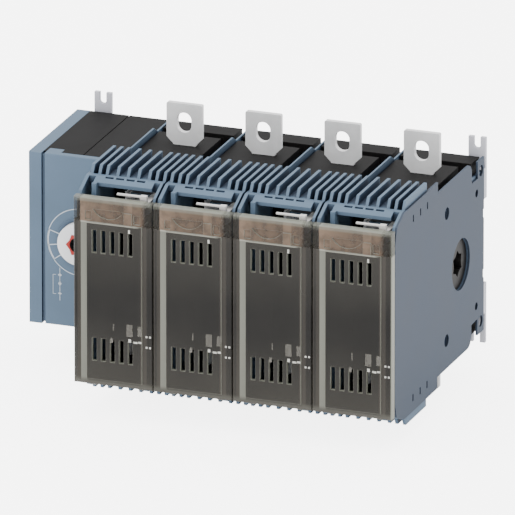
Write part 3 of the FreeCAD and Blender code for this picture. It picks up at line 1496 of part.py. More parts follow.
def make_shaft_sector():
    """The toothed sector on the main shaft, driven by the slider's back rack."""
    place = left_edge + slider_left() + dim.side_gap
    body = new_body("shaft_sector", place, dim.shaft_depth)
    radius = pitch_radius(dim.sector_full_teeth)
    root = radius - dim.tooth_foot * dim.gear_module
    step = FULL_TURN / dim.sector_full_teeth
    hub = Profile(body, "Hub", SIDE).circle(0, 0, dim.sector_hub_radius)
    pad(body, hub, dim.sector_width)
    first_angle = QUARTER_TURN + step * dim.sector_lead
    last_angle = first_angle - step * (dim.sector_teeth - 1)
    margin = dim.fan_margin
    fan = [(ZERO, ZERO)]
    angles = [
        first_angle + margin,
        first_angle - step,
        (first_angle + last_angle) / 2,
        last_angle + step,
        last_angle - margin,
    ]
    reach = root + dim.fan_bulge
    fan += [(-reach * sine(angle), reach * cosine(angle)) for angle in angles]
    plate = Profile(body, "Plate", SIDE).polygon(fan)
    pad(body, plate, dim.sector_width)
    tooth = Profile(body, "Tooth", SIDE)
    tooth.polygon(turned(wheel_tooth(radius, root - dim.tooth_bury), first_angle))
    first = pad(body, tooth, dim.sector_width)
    sweep = step * (dim.sector_teeth - 1)
    around(body, "Teeth", first, "X_Axis", dim.sector_teeth, sweep, back=True)
    bore = Profile(body, "SquareBore", SIDE)
    half = dim.shaft_square / 2 + dim.running_gap
    bore.rectangle(-half, half, -half, half)
    cut_through(body, bore)
    return body


def make_rack_slider():
    """The slider with one rack for the spindle's pinion and one for the shaft's sector."""
    body = new_body("rack_slider", left_edge)
    left = slider_left()
    root = shaft_rack_root()
    bar = Profile(body, "Bar", TOP, -dim.slider_bottom)
    bar.rectangle(left, left + dim.slider_width, -dim.slider_front, -root)
    pad(body, bar, dim.slider_bottom + dim.slider_top)
    pitch = dim.gear_module * math.pi
    pitch_place = dim.spindle_offset + pitch_radius(dim.pinion_teeth)
    side_tooth = Profile(body, "SideTooth", FRONT, dim.pinion_back)
    side_tooth.polygon(
        [(-up, across - pitch) for across, up in rack_tooth(-pitch_place, -left - dim.overlap)]
    )
    first = pad(body, side_tooth, dim.pinion_width)
    along_z(body, "SideRack", first, pitch)
    pitch_depth = dim.shaft_depth + pitch_radius(dim.sector_full_teeth)
    back_tooth = Profile(body, "BackTooth", SIDE, left)
    back_tooth.polygon(
        [(up, across - pitch) for across, up in rack_tooth(-pitch_depth, -root - dim.overlap)]
    )
    first = pad(body, back_tooth, dim.slider_width)
    along_z(body, "BackRack", first, pitch)
    return body


def along_z(body, name, original, pitch):
    """Repeats a rack tooth upward at the rack's pitch."""
    feature = body.newObject("PartDesign::LinearPattern", name)
    feature.Originals = [original]
    feature.Direction = (origin_feature(body, "Z_Axis"), [""])
    length = pitch * (dim.rack_teeth - 1)
    feature.Length = length.value
    feature.setExpression("Length", length.text)
    feature.Occurrences = int(dim.rack_teeth.value)
    feature.setExpression("Occurrences", dim.rack_teeth.text)
    body.Tip = feature
    return feature


def make_main_shaft():
    """The square shaft through all the rotors, with a round journal at the left."""
    start = left_edge + dim.web_end - dim.pillar_width
    body = new_body("main_shaft", start, dim.shaft_depth)
    square_start = dim.pillar_width + dim.side_gap
    journal = Profile(body, "Journal", SIDE).circle(0, 0, dim.journal_radius)
    pad(body, journal, square_start + dim.overlap)
    half = dim.shaft_square / 2
    square = Profile(body, "Square", SIDE, square_start).rectangle(-half, half, -half, half)
    end = pole_centre(LAST) + rotor_right - dim.rotor_socket_depth
    pad(body, square, end - start - square_start)
    return body


# Mounting feet

def make_foot(right, upper):
    """A mounting foot: a block on the unit's back with a forked plate."""
    name = ("upper" if upper else "lower") + "_" + ("right" if right else "left") + "_foot"
    across = right_edge - dim.foot_inset_right if right else left_edge + dim.foot_inset_left
    body = new_body(name, across, flipped=not upper)
    half = dim.foot_width / 2
    slot = dim.foot_slot_width / 2
    fork = Profile(body, "Fork", FRONT, -dim.foot_standoff)
    fork.rectangle(-half, half, dim.foot_block_start, dim.foot_tip)
    pad(body, fork, dim.foot_plate)
    block = Profile(body, "Block", FRONT, -dim.foot_standoff)
    block.rectangle(-half, half, dim.foot_block_start, dim.foot_block_end)
    pad(body, block, dim.foot_standoff)
    notch = Profile(body, "Notch", FRONT)
    notch.rectangle(-slot, slot, dim.foot_slot_end + slot, dim.foot_tip + dim.overcut)
    cut_through(body, notch)
    end = Profile(body, "NotchEnd", FRONT).circle(0, dim.foot_slot_end + slot, slot)
    cut_through(body, end)
    screw = Profile(body, "ScrewHole", FRONT)
    screw.circle(0, dim.foot_screw_height, dim.foot_screw_radius + dim.seat_gap)
    cut_through(body, screw)
    sink = Profile(body, "ScrewSink", FRONT, -dim.foot_standoff)
    sink.circle(0, dim.foot_screw_height, dim.foot_screw_head + dim.seat_gap)
    pocket(body, sink, dim.foot_screw_sink)
    return body


def make_foot_screws():
    """The four screws that hold the feet to the unit's back."""
    body = new_body("foot_screws")
    head_back = -dim.foot_standoff + dim.foot_screw_set_back
    head_front = -dim.foot_standoff + dim.foot_screw_sink
    shanks = Profile(body, "Shanks", FRONT, head_front - dim.overlap)
    heads = Profile(body, "Heads", FRONT, head_back)
    for across in (left_edge + dim.foot_inset_left, right_edge - dim.foot_inset_right):
        for sign in (1, -1):
            up = dim.foot_screw_height * sign
            shanks.circle(across, up, dim.foot_screw_radius)
            heads.circle(across, up, dim.foot_screw_head)
    pad(body, heads, head_front - head_back)
    pad(body, shanks, dim.foot_screw_bite - head_front + dim.overlap)
    return body


def drill_for_feet(body, across):
    """Bores a base for the screws of the two feet on its back."""
    bores = Profile(body, "FootBores", FRONT, -dim.overcut)
    for sign in (1, -1):
        bores.circle(across, dim.foot_screw_height * sign, dim.foot_screw_radius + dim.seat_gap)
    pocket(body, bores, dim.foot_screw_bite + dim.overcut + dim.seat_gap)


def drill_bases(bases):
    """Bores the mechanism's base and the last pole's base for the feet's screws."""
    drill_for_feet(bases["mechanism_base"], dim.foot_inset_left)
    place = right_edge - dim.foot_inset_right - pole_centre(LAST)
    drill_for_feet(bases[f"pole_base_{POLE_COUNT}"], place)


def repeat(body, index):
    """Repeats a sub-part of the first pole in a later one, as a link that follows its changes."""
    link = document.addObject("App::Link", body.Label)
    link.Label = body.Label[:-1] + str(index + 1)
    link.LinkedObject = body
    link.LinkTransform = True
    place = dim.pole_pitch * index
    link.Placement.Base.x = place.value
    link.setExpression("Placement.Base.x", place.text)
    return link


def make_poles():
    """Builds the first pole's sub-parts and repeats them; the last base has bores of its own."""
    originals = [
        make_pole_housing(),
        make_pole_base(FIRST),
        make_terminal(True),
        make_terminal(False),
        make_jaw(True),
        make_jaw(False),
        make_rotor(),
        make_moving_contacts(),
        make_cover(),
        make_latch(),
    ]
    items = list(originals)
    for index in range(1, POLE_COUNT):
        for body in originals:
            own_base = index == LAST and body.Label.startswith("pole_base")
            items.append(make_pole_base(index) if own_base else repeat(body, index))
    return items


def make_all():
    """Builds every sub-part of the unit."""
    bodies = make_poles()
    bodies += [
        make_side_plate(),
        make_mechanism_base(),
        make_mechanism_cover(),
        make_drive_disc(),
        make_star_insert(),
        make_drive_spindle(),
        make_spindle_pinion(),
        make_rack_slider(),
        make_shaft_sector(),
        make_main_shaft(),
        make_end_plate(),
        make_tie_rods(),
        make_foot_screws(),
    ]
    bodies += [make_foot(right, upper) for right in (False, True) for upper in (True, False)]
    drill_bases({body.Label: body for body in bodies})
    return bodies


def check(bodies):
    """Stops if a feature failed, a cut removed nothing or a sub-part is not a valid solid."""
    for item in document.Objects:
        if "Invalid" in item.State or "Error" in item.State:
            raise RuntimeError(f"{item.Label} of {parent_label(item)} failed: {item.State}")
        if item.TypeId == "PartDesign::Pocket":
            before = item.BaseFeature.Shape.Volume
            if not item.Shape.Volume < before - POINT_TOLERANCE:
                raise RuntimeError(f"{item.Label} of {parent_label(item)} cuts nothing")
    for body in bodies:
        shape = Part.getShape(body)
        if shape.isNull() or not shape.isValid():
            raise RuntimeError(f"{body.Label} has no valid shape")


def parent_label(item):
    """Name of the body that a feature belongs to."""
    parents = [owner.Label for owner in item.InList if owner.TypeId == "PartDesign::Body"]
    return parents[0] if parents else "the document"


def write_parts(bodies):
    """Writes each sub-part to its own STEP file."""
    os.makedirs("parts", exist_ok=True)
    for body in bodies:
        Part.getShape(body).exportStep(f"parts/{body.Label}.step")


all_bodies = make_all()
document.recompute()
check(all_bodies)
write_parts(all_bodies)
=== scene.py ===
"""Looks of a four-pole fuse switch disconnector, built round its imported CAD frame."""

from __future__ import annotations

import json
import logging
import math
from dataclasses import dataclass, field
from enum import Enum
from typing import Any

import bmesh
import bpy
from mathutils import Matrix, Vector

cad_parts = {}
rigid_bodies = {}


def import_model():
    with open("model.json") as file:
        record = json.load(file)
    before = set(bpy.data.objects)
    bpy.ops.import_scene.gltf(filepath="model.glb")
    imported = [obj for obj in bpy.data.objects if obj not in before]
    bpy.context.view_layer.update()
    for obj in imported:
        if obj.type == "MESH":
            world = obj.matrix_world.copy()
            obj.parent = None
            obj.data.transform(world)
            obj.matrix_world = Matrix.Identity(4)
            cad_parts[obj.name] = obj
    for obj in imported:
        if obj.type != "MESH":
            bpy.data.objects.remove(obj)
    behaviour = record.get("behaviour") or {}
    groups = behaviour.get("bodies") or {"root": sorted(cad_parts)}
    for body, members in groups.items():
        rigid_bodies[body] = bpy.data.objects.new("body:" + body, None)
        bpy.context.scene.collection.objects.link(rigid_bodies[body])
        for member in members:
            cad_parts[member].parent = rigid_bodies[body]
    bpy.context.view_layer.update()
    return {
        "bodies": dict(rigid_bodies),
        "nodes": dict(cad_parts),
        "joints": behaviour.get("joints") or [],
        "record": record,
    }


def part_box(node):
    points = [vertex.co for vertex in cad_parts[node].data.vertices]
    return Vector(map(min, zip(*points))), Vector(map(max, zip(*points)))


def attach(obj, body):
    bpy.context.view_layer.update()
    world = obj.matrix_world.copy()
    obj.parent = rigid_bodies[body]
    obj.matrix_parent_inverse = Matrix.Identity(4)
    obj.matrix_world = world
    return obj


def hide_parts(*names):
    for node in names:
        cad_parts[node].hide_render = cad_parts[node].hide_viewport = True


LOG = logging.getLogger("disconnector")

# Sizes are in millimetres, and what makes a mesh or a node turns them to metres
MM = 0.001
POLES = 4
PITCH = 60.0
BACK = -8.5
LEFT_EDGE = -160.0

# Faces round a turned piece, and the angle from which its edges stay sharp
LATHE_STEPS = 96
SHARP_ANGLE = math.radians(35.0)

# Cosines of the turn where a painted edge highlight starts and where it is full, and the
# highlight's strongest share
FLAT_COSINE = 0.995
HIGHLIGHT_COSINE = 0.85
HIGHLIGHT_SHARE = 0.6

# Cosines of the turn where a cover's face, turned to the right or up, is painted pale as a lit cut
# side
FACE_COSINE = 0.5
SIDE_COSINE = 0.8

POLYCARBONATE_IOR = 1.585
BEVEL_SAMPLES = {"samples": 4}
OCCLUSION_SAMPLES = {"samples": 8}
RGBA = {"data_type": "RGBA"}
ADD = {"operation": "ADD"}
MULTIPLY = {"operation": "MULTIPLY"}

Material = bpy.types.Material
Node = bpy.types.Node
Piece = bpy.types.Object
Socket = bpy.types.NodeSocket
Tree = bpy.types.NodeTree
Colour = tuple[float, ...]
Stops = list[tuple[float, Colour]]
Point = tuple[float, float]
Outline = list[Point]
Span = tuple[float, float, float, float]
Frame = dict[str, Any]


def linear(code: str) -> Colour:
    """Turn an sRGB hex code into linear red, green, blue and alpha.

    Args:
        code: Six hex digits, such as "8496A3".

    Returns:
        The linear colour with an alpha of 1.
    """
    channels = [int(code[i : i + 2], 16) / 255 for i in (0, 2, 4)]
    curve = [c / 12.92 if c <= 0.04045 else ((c + 0.055) / 1.055) ** 2.4 for c in channels]
    return (*curve, 1.0)


def add_node(tree: Tree, kind: str, settings: dict[str, Any] | None = None, **inputs: Any) -> Node:
    """Add one shader node, set it up and link its inputs.

    Args:
        tree: The material's node tree.
        kind: Blender's name of the node type, without the "ShaderNode" prefix.
        settings: Attributes of the node itself.
        **inputs: Values or output sockets by input name, with "_" for a space, or by "i0", "i1".

    Returns:
        The new node.
    """
    node = tree.nodes.new(f"ShaderNode{kind}")
    for name, value in (settings or {}).items():
        setattr(node, name, value)
    for name, value in inputs.items():
        numbered = name[0] == "i" and name[1:].isdigit()
        key: int | str = int(name[1:]) if numbered else name.replace("_", " ")
        if isinstance(value, Socket):
            tree.links.new(value, node.inputs[key])
        else:
            node.inputs[key].default_value = value
    return node


def set_ramp(node: Node, stops: Stops) -> None:
    """Give a colour ramp its stops.

    Args:
        node: The ramp node.
        stops: Positions from 0 to 1 with linear colours, in order.
    """
    elements = node.color_ramp.elements
    while len(elements) > 1:
        elements.remove(elements[-1])
    for i, (place, colour) in enumerate(stops):
        element = elements[0] if i == 0 else elements.new(place)
        element.position = place
        element.color = colour


def new_material(name: str) -> tuple[Material, Tree, Node]:
    """Start a node material.

    Args:
        name: The material's name.

    Returns:
        The material, its node tree and its main shader.
    """
    material = bpy.data.materials.new(name)
    material.use_nodes = True
    tree = material.node_tree
    return material, tree, tree.nodes["Principled BSDF"]


def tinted(colour: Colour, factor: float) -> Colour:
    """Make a linear colour darker or lighter by a factor."""
    return tuple(min(1.0, c * factor) for c in colour[:3]) + (1.0,)


def limits(span_mm: Point) -> dict[str, float]:
    """Turn a start and an end in millimetres into the limits of a share that runs from 0 to 1."""
    return {"From_Min": span_mm[0] * MM, "From_Max": span_mm[1] * MM}


def pole_share(mm: float) -> float:
    """Turn a distance from the pole's middle in millimetres into a share of the pole's width."""
    return (mm + PITCH / 2) / PITCH


def edge_highlight_share(tree: Tree, rounded: Socket) -> Socket:
    """Find where a softened edge turns away from its face, where a pale highlight is painted.

    Args:
        tree: The material's node tree.
        rounded: The normal with softened edges.

    Returns:
        A share of painted highlight that is 0 on the flat and largest on an edge.
    """
    face = add_node(tree, "NewGeometry").outputs["Normal"]
    turn = add_node(tree, "VectorMath", {"operation": "DOT_PRODUCT"}, i0=rounded, i1=face)
    edge_highlight = add_node(
        tree,
        "MapRange",
        Value=turn.outputs["Value"],
        From_Min=FLAT_COSINE,
        From_Max=HIGHLIGHT_COSINE,
        To_Max=HIGHLIGHT_SHARE,
    )
    return edge_highlight.outputs["Result"]


class MouldSurface(Enum):
    """How the inside of the mould was finished: the roughness and the grain that it gives."""

    SPARK_ERODED = (0.55, 0.55)
    SATIN = (0.38, 0.9)

    @property
    def roughness(self) -> float:
        """Roughness of the moulding's surface."""
        return self.value[0]

    @property
    def grain_mm(self) -> float:
        """Width of one grain of the texture, drawn coarser than real so that it shows."""
        return self.value[1]


@dataclass(frozen=True)
class MouldedPlastic:
    """A rigid injection-moulded plastic: dry grain, with a pale highlight painted on its soft
    edges and dark shade painted into its hollows.
    """

    name: str
    colour: str
    surface: MouldSurface = MouldSurface.SPARK_ERODED
    # Pale colour painted on edges as a highlight, then dark colour painted into hollows as shade,
    # with how far and how strongly that shade reaches
    edge_highlight_colour: str = ""
    hollow_shade_colour: str = ""
    edge_mm: float = 0.45
    hollow_shade_mm: float = 7.0
    hollow_shade_open: float = 0.9
    hollow_shade_closed: float = 0.38
    hollow_shade_share: float = 0.92
    mottle_mm: float = 38.0
    relief_mm: float = 0.03
    relief: float = 0.35
    gloss_swing: float = 0.05
    specular: float = 0.4
    ior: float = 1.53

    def build(self) -> Material:
        """Make the material.

        Returns:
            The finished material.
        """
        material, tree, shader = new_material(self.name)
        place = add_node(tree, "TexCoord").outputs["Object"]
        slow, quick = 1 / (self.mottle_mm * MM), 1 / (self.surface.grain_mm * MM)
        mottle = add_node(tree, "TexNoise", Vector=place, Scale=slow, Detail=3.0).outputs["Fac"]
        grain = add_node(tree, "TexNoise", Vector=place, Scale=quick, Detail=2.0).outputs["Fac"]
        rounded = add_node(tree, "Bevel", BEVEL_SAMPLES, Radius=self.edge_mm * MM).outputs[0]
        relief = add_node(
            tree,
            "Bump",
            Strength=self.relief,
            Distance=self.relief_mm * MM,
            Height=grain,
            Normal=rounded,
        )
        gloss = add_node(
            tree,
            "MapRange",
            Value=mottle,
            To_Min=self.surface.roughness - self.gloss_swing,
            To_Max=self.surface.roughness + self.gloss_swing,
        )
        tree.links.new(self._colour(tree, mottle, rounded), shader.inputs["Base Color"])
        tree.links.new(gloss.outputs["Result"], shader.inputs["Roughness"])
        tree.links.new(relief.outputs["Normal"], shader.inputs["Normal"])
        shader.inputs["IOR"].default_value = self.ior
        shader.inputs["Specular IOR Level"].default_value = self.specular
        material.diffuse_color = linear(self.colour)
        return material

    def _colour(self, tree: Tree, mottle: Socket, rounded: Socket) -> Socket:
        """Blend the moulding's tone with a highlight painted on its edges and shade painted into
        its hollows.

        Args:
            tree: The material's node tree.
            mottle: Slow noise from 0 to 1.
            rounded: The normal with softened edges.

        Returns:
            The blended colour.
        """
        base = linear(self.colour)
        highlight = linear(self.edge_highlight_colour) if self.edge_highlight_colour else tinted(base, 1.4)
        hollow_shade = linear(self.hollow_shade_colour) if self.hollow_shade_colour else tinted(base, 0.35)
        shade = add_node(tree, "ValToRGB", Fac=mottle)
        set_ramp(shade, [(0.35, tinted(base, 0.94)), (0.65, tinted(base, 1.05))])
        reach = self.hollow_shade_mm * MM
        # Ambient occlusion gives where shade is painted into hollows and crevices
        shadow = add_node(tree, "AmbientOcclusion", OCCLUSION_SAMPLES, Distance=reach)
        closed = add_node(
            tree,
            "MapRange",
            Value=shadow.outputs["AO"],
            From_Min=self.hollow_shade_open,
            From_Max=self.hollow_shade_closed,
            To_Max=self.hollow_shade_share,
        )
        colour = shade.outputs[0]
        # Paint the edge highlight, then the shade in the hollows, over the tone
        for share, tone in ((edge_highlight_share(tree, rounded), highlight), (closed.outputs["Result"], hollow_shade)):
            colour = add_node(tree, "Mix", RGBA, Factor=share, i6=colour, i7=tone).outputs[2]
        return colour


@dataclass(frozen=True)
class PlatedMetal:
    """Rolled strip or turned bar with a plating that shows faint rolling marks."""

    name: str
    colour: str
    roughness: float
    metallic: float = 0.75
    streak_mm: float = 0.25
    streak_length_mm: float = 9.0
    cloud_mm: float = 9.0
    edge_mm: float = 0.25
    relief_mm: float = 0.01
    relief: float = 0.2

    def build(self) -> Material:
        """Make the material.

        Returns:
            The finished material.
        """
        material, tree, shader = new_material(self.name)
        base = linear(self.colour)
        place = add_node(tree, "TexCoord").outputs["Object"]
        fine, along = 1 / (self.streak_mm * MM), 1 / (self.streak_length_mm * MM)
        stretch = add_node(tree, "Mapping", Vector=place, Scale=(fine, fine, along))
        streak = add_node(tree, "TexNoise", Vector=stretch.outputs[0], Scale=1.0, Detail=2.0)
        slow = 1 / (self.cloud_mm * MM)
        cloud = add_node(tree, "TexNoise", Vector=place, Scale=slow, Detail=4.0)
        shade = add_node(tree, "ValToRGB", Fac=cloud.outputs["Fac"])
        set_ramp(shade, [(0.3, tinted(base, 0.9)), (0.7, base)])
        gloss = add_node(
            tree,
            "MapRange",
            Value=streak.outputs["Fac"],
            To_Min=self.roughness - 0.07,
            To_Max=self.roughness + 0.1,
        )
        rounded = add_node(tree, "Bevel", BEVEL_SAMPLES, Radius=self.edge_mm * MM)
        relief = add_node(
            tree,
            "Bump",
            Strength=self.relief,
            Distance=self.relief_mm * MM,
            Height=streak.outputs["Fac"],
            Normal=rounded.outputs[0],
        )
        tree.links.new(shade.outputs[0], shader.inputs["Base Color"])
        tree.links.new(gloss.outputs["Result"], shader.inputs["Roughness"])
        tree.links.new(relief.outputs["Normal"], shader.inputs["Normal"])
        shader.inputs["Metallic"].default_value = self.metallic
        material.diffuse_color = base
        return material


@dataclass(frozen=True)
class SmokePolycarbonate:
    """Clear smoke-tinted polycarbonate from a polished mould.

    It shows a dark panel that is a little paler at its ends, a pale strip painted as the lit inner
    skirt seen through the face, a tan crown where light comes in from above, and highlights
    painted on its edges, along the panel's upper edge and on the cut sides turned to the right and
    up. A pair of heights or places gives where a zone starts and where it is full.
    """

    name: str
    panel: str = "181613"
    column: str = "332F2A"
    # The strip is painted pale as the lit inner skirt seen through the face
    strip: str = "7C7D73"
    band: str = "12100E"
    crown: str = "7E6A59"
    foot: str = "57554E"
    haze: str = "6C685F"
    # Pale colour painted as highlight on the cut sides turned right or up and along the crown's
    # upper rim
    lit_cut: str = "8E9084"
    # Pale colour painted as highlights on the cover's edges and along the panel's upper edge
    edge: str = "B0AFA2"
    panel_alpha: float = 0.93
    crown_alpha: float = 0.82
    side_alpha: float = 0.45
    roughness: float = 0.12
    specular: float = 0.22
    edge_mm: float = 0.5
    cloud_mm: float = 7.0
    haze_cloud_mm: float = 30.0
    haze_swing: float = 0.05
    haze_above_mm: Point = (0.0, 52.0)
    haze_above: float = 0.16
    haze_below_mm: Point = (-15.0, -66.0)
    haze_below: float = 0.2
    crown_mm: Point = (52.1, 52.7)
    foot_mm: Point = (-64.5, -67.5)
    rim_highlight_mm: Point = (66.6, 67.8)
    rim_highlight_share: float = 0.4
    highlight_start_mm: Point = (51.3, 51.6)
    highlight_end_mm: Point = (52.7, 52.4)
    highlight_line_share: float = 0.6
    neighbour_mm: Point = (28.6, 27.6)
    free_side_mm: Point = (147.5, 148.0)

    def build(self) -> Material:
        """Make the material.

        Returns:
            The finished material.
        """
        material, tree, shader = new_material(self.name)
        coords = add_node(tree, "TexCoord")
        place = coords.outputs["Object"]
        axes = add_node(tree, "SeparateXYZ", Vector=place)
        along, up = axes.outputs["X"], axes.outputs["Z"]
        across = self._across(tree, along)
        bars = add_node(tree, "ValToRGB", Fac=across)
        set_ramp(bars, self._bar_stops())
        crown = add_node(tree, "ValToRGB", Fac=across)
        set_ramp(crown, self._crown_stops())
        in_foot = add_node(tree, "MapRange", Value=up, **limits(self.foot_mm))
        in_crown = add_node(tree, "MapRange", Value=up, **limits(self.crown_mm)).outputs["Result"]
        rounded = add_node(tree, "Bevel", BEVEL_SAMPLES, Radius=self.edge_mm * MM).outputs[0]
        inside = self._away_from_neighbour(tree, across, along)
        # A highlight is painted on the softened edges, kept out of the gap between covers
        edge_highlight = add_node(tree, "Math", MULTIPLY, i0=edge_highlight_share(tree, rounded), i1=inside)
        layers: list[tuple[Socket, Any]] = [
            (in_foot.outputs["Result"], linear(self.foot)),
            (in_crown, self._streaked(tree, crown.outputs["Color"], place, up)),
            (edge_highlight.outputs[0], linear(self.edge)),
            (self._panel_highlight(tree, across, up), linear(self.edge)),
        ]
        # Faces turned to the right or up are painted pale, as lit cut sides
        turned = add_node(tree, "SeparateXYZ", Vector=coords.outputs["Normal"])
        for axis in ("X", "Z"):
            side = add_node(
                tree,
                "MapRange",
                Value=turned.outputs[axis],
                From_Min=FACE_COSINE,
                From_Max=SIDE_COSINE,
            )
            lit_cut = add_node(tree, "Math", MULTIPLY, i0=side.outputs["Result"], i1=inside)
            layers.append((lit_cut.outputs[0], linear(self.lit_cut)))
        body = self._hazed(tree, bars.outputs["Color"], place, up)
        for share, colour in layers:
            body = add_node(tree, "Mix", RGBA, Factor=share, i6=body, i7=colour).outputs[2]
        clear = add_node(
            tree, "Mix", Factor=in_crown, i2=bars.outputs["Alpha"], i3=crown.outputs["Alpha"]
        )
        tree.links.new(body, shader.inputs["Base Color"])
        tree.links.new(clear.outputs[0], shader.inputs["Alpha"])
        tree.links.new(rounded, shader.inputs["Normal"])
        shader.inputs["Roughness"].default_value = self.roughness
        shader.inputs["Specular IOR Level"].default_value = self.specular
        shader.inputs["IOR"].default_value = POLYCARBONATE_IOR
        material.diffuse_color = linear(self.panel)
        return material

    @staticmethod
    def _across(tree: Tree, along: Socket) -> Socket:
        """Turn a place along the unit into a share of its pole's width.

        Args:
            tree: The material's node tree.
            along: The place in metres; the first pole starts one and a half pitches to the left.

        Returns:
            0 at the pole's left edge to 1 at its right.
        """
        shifted = add_node(tree, "Math", ADD, i0=along, i1=1.5 * PITCH * MM)
        divide, part = {"operation": "DIVIDE"}, {"operation": "FRACT"}
        poles = add_node(tree, "Math", divide, i0=shifted.outputs[0], i1=PITCH * MM)
        return add_node(tree, "Math", part, i0=poles.outputs[0]).outputs[0]

    def _streaked(self, tree: Tree, colour: Socket, place: Socket, up: Socket) -> Socket:
        """Mottle the crown with the shapes that show dimly through it, and paint a highlight along
        its upper rim.

        Args:
            tree: The material's node tree.
            colour: The crown's colour.
            place: The place on the cover.
            up: Its height in metres.

        Returns:
            The mottled colour.
        """
        slow = 1 / (self.cloud_mm * MM)
        cloud = add_node(tree, "TexNoise", Vector=place, Scale=slow, Detail=3.0)
        dim = add_node(
            tree, "MapRange", Value=cloud.outputs["Fac"], From_Min=0.4, From_Max=0.65, To_Max=0.5
        )
        highlight = add_node(tree, "MapRange", Value=up, To_Max=self.rim_highlight_share, **limits(self.rim_highlight_mm))
        for share, code in ((dim, self.column), (highlight, self.lit_cut)):
            mix = add_node(
                tree, "Mix", RGBA, Factor=share.outputs["Result"], i6=colour, i7=linear(code)
            )
            colour = mix.outputs[2]
        return colour

    def _panel_highlight(self, tree: Tree, across: Socket, up: Socket) -> Socket:
        """Find the highlight painted along the panel's upper edge.

        Args:
            tree: The material's node tree.
            across: The share of the pole's width.
            up: The height in metres.

        Returns:
            The share of the painted highlight.
        """
        above = add_node(tree, "MapRange", Value=up, **limits(self.highlight_start_mm))
        below = add_node(tree, "MapRange", Value=up, **limits(self.highlight_end_mm))
        height = add_node(
            tree, "Math", MULTIPLY, i0=above.outputs["Result"], i1=below.outputs["Result"]
        )
        span = add_node(tree, "ValToRGB", Fac=across)
        clear, pale = (0.0, 0.0, 0.0, 1.0), (self.highlight_line_share,) * 3 + (1.0,)
        places = [(-24.6, clear), (-24.0, pale), (17.0, pale), (20.5, clear)]
        set_ramp(span, [(pole_share(mm), shade) for mm, shade in places])
        line = add_node(tree, "Math", MULTIPLY, i0=height.outputs[0], i1=span.outputs["Color"])
        return line.outputs[0]

    def _away_from_neighbour(self, tree: Tree, across: Socket, along: Socket) -> Socket:
        """Find where cut edges catch light: not in the narrow gap between two covers.

        Args:
            tree: The material's node tree.
            across: The share of the pole's width.
            along: The place along the unit in metres.

        Returns:
            1 on a cover and on the unit's free right side, 0 next to a neighbour.
        """
        near, far = (pole_share(mm) for mm in self.neighbour_mm)
        clear = add_node(tree, "MapRange", Value=across, From_Min=near, From_Max=far)
        free = add_node(tree, "MapRange", Value=along, **limits(self.free_side_mm))
        either = add_node(
            tree,
            "Math",
            {"operation": "MAXIMUM"},
            i0=clear.outputs["Result"],
            i1=free.outputs["Result"],
        )
        return either.outputs[0]

    def _hazed(self, tree: Tree, colour: Socket, place: Socket, up: Socket) -> Socket:
        """Let the panel grow paler towards its ends, as the light behind it does.

        Args:
            tree: The material's node tree.
            colour: The panel's colour.
            place: The place on the cover.
            up: Its height in metres.

        Returns:
            The hazed colour.
        """
        slow = 1 / (self.haze_cloud_mm * MM)
        cloud = add_node(tree, "TexNoise", Vector=place, Scale=slow, Detail=2.0)
        wave = add_node(
            tree,
            "MapRange",
            Value=cloud.outputs["Fac"],
            To_Min=-self.haze_swing,
            To_Max=self.haze_swing,
        )
        above, below = (
            add_node(tree, "MapRange", Value=up, To_Max=most, **limits(span)).outputs["Result"]
            for span, most in (
                (self.haze_above_mm, self.haze_above),
                (self.haze_below_mm, self.haze_below),
            )
        )
        ends = add_node(tree, "Math", ADD, i0=above, i1=below)
        share = add_node(
            tree, "Math", ADD | {"use_clamp": True}, i0=ends.outputs[0], i1=wave.outputs["Result"]
        )
        haze = linear(self.haze)
        return add_node(tree, "Mix", RGBA, Factor=share.outputs[0], i6=colour, i7=haze).outputs[2]

    def _bar_stops(self) -> Stops:
        """List the colours across one cover, by millimetres from the pole's middle.

        Returns:
            The stops of a ramp from the pole's left edge to its right.
        """
        places = [
            (-29.9, self.column),
            (-27.6, self.band),
            (-26.3, self.column),
            (-24.4, self.column),
            # The pale strip is painted light: the lit inner skirt seen through the face
            (-24.0, self.strip),
            (-19.7, self.strip),
            (-19.3, self.panel),
            (20.6, self.panel),
            (21.2, self.column),
            (25.0, self.column),
            (26.0, self.band),
            (29.9, self.band),
        ]
        return [(pole_share(mm), linear(code)[:3] + (self.panel_alpha,)) for mm, code in places]

    def _crown_stops(self) -> Stops:
        """List the crown's colours across it: tan in the middle and clear smoke at both sides.

        Returns:
            The stops of a ramp from the pole's left edge to its right.
        """
        tan = linear(self.crown)
        side = linear(self.column)[:3] + (self.side_alpha,)
        tones = [(-24.4, 1.1), (-12.0, 0.8), (8.0, 0.55), (8.6, 0.95)]
        tones += [(14.4, 0.95), (15.0, 0.6), (18.5, 0.75), (21.5, 0.6)]
        middle = [(mm, tinted(tan, tone)[:3] + (self.crown_alpha,)) for mm, tone in tones]
        return [(pole_share(mm), colour) for mm, colour in [(-25.0, side), *middle, (24.5, side)]]


@dataclass(frozen=True)
class PrintedInk:
    """Pad-printed ink, a thin matt film that dulls the moulding under it."""

    name: str
    colour: str
    wear_mm: float = 1.5
    roughness: float = 0.6

    def build(self) -> Material:
        """Make the material.

        Returns:
            The finished material.
        """
        material, tree, shader = new_material(self.name)
        place = add_node(tree, "TexCoord").outputs["Object"]
        scale = 1 / (self.wear_mm * MM)
        wear = add_node(tree, "TexNoise", Vector=place, Scale=scale, Detail=3.0)
        shade = add_node(tree, "ValToRGB", Fac=wear.outputs["Fac"])
        base = linear(self.colour)
        set_ramp(shade, [(0.3, tinted(base, 0.85)), (0.6, base)])
        tree.links.new(shade.outputs[0], shader.inputs["Base Color"])
        shader.inputs["Roughness"].default_value = self.roughness
        material.diffuse_color = base
        return material


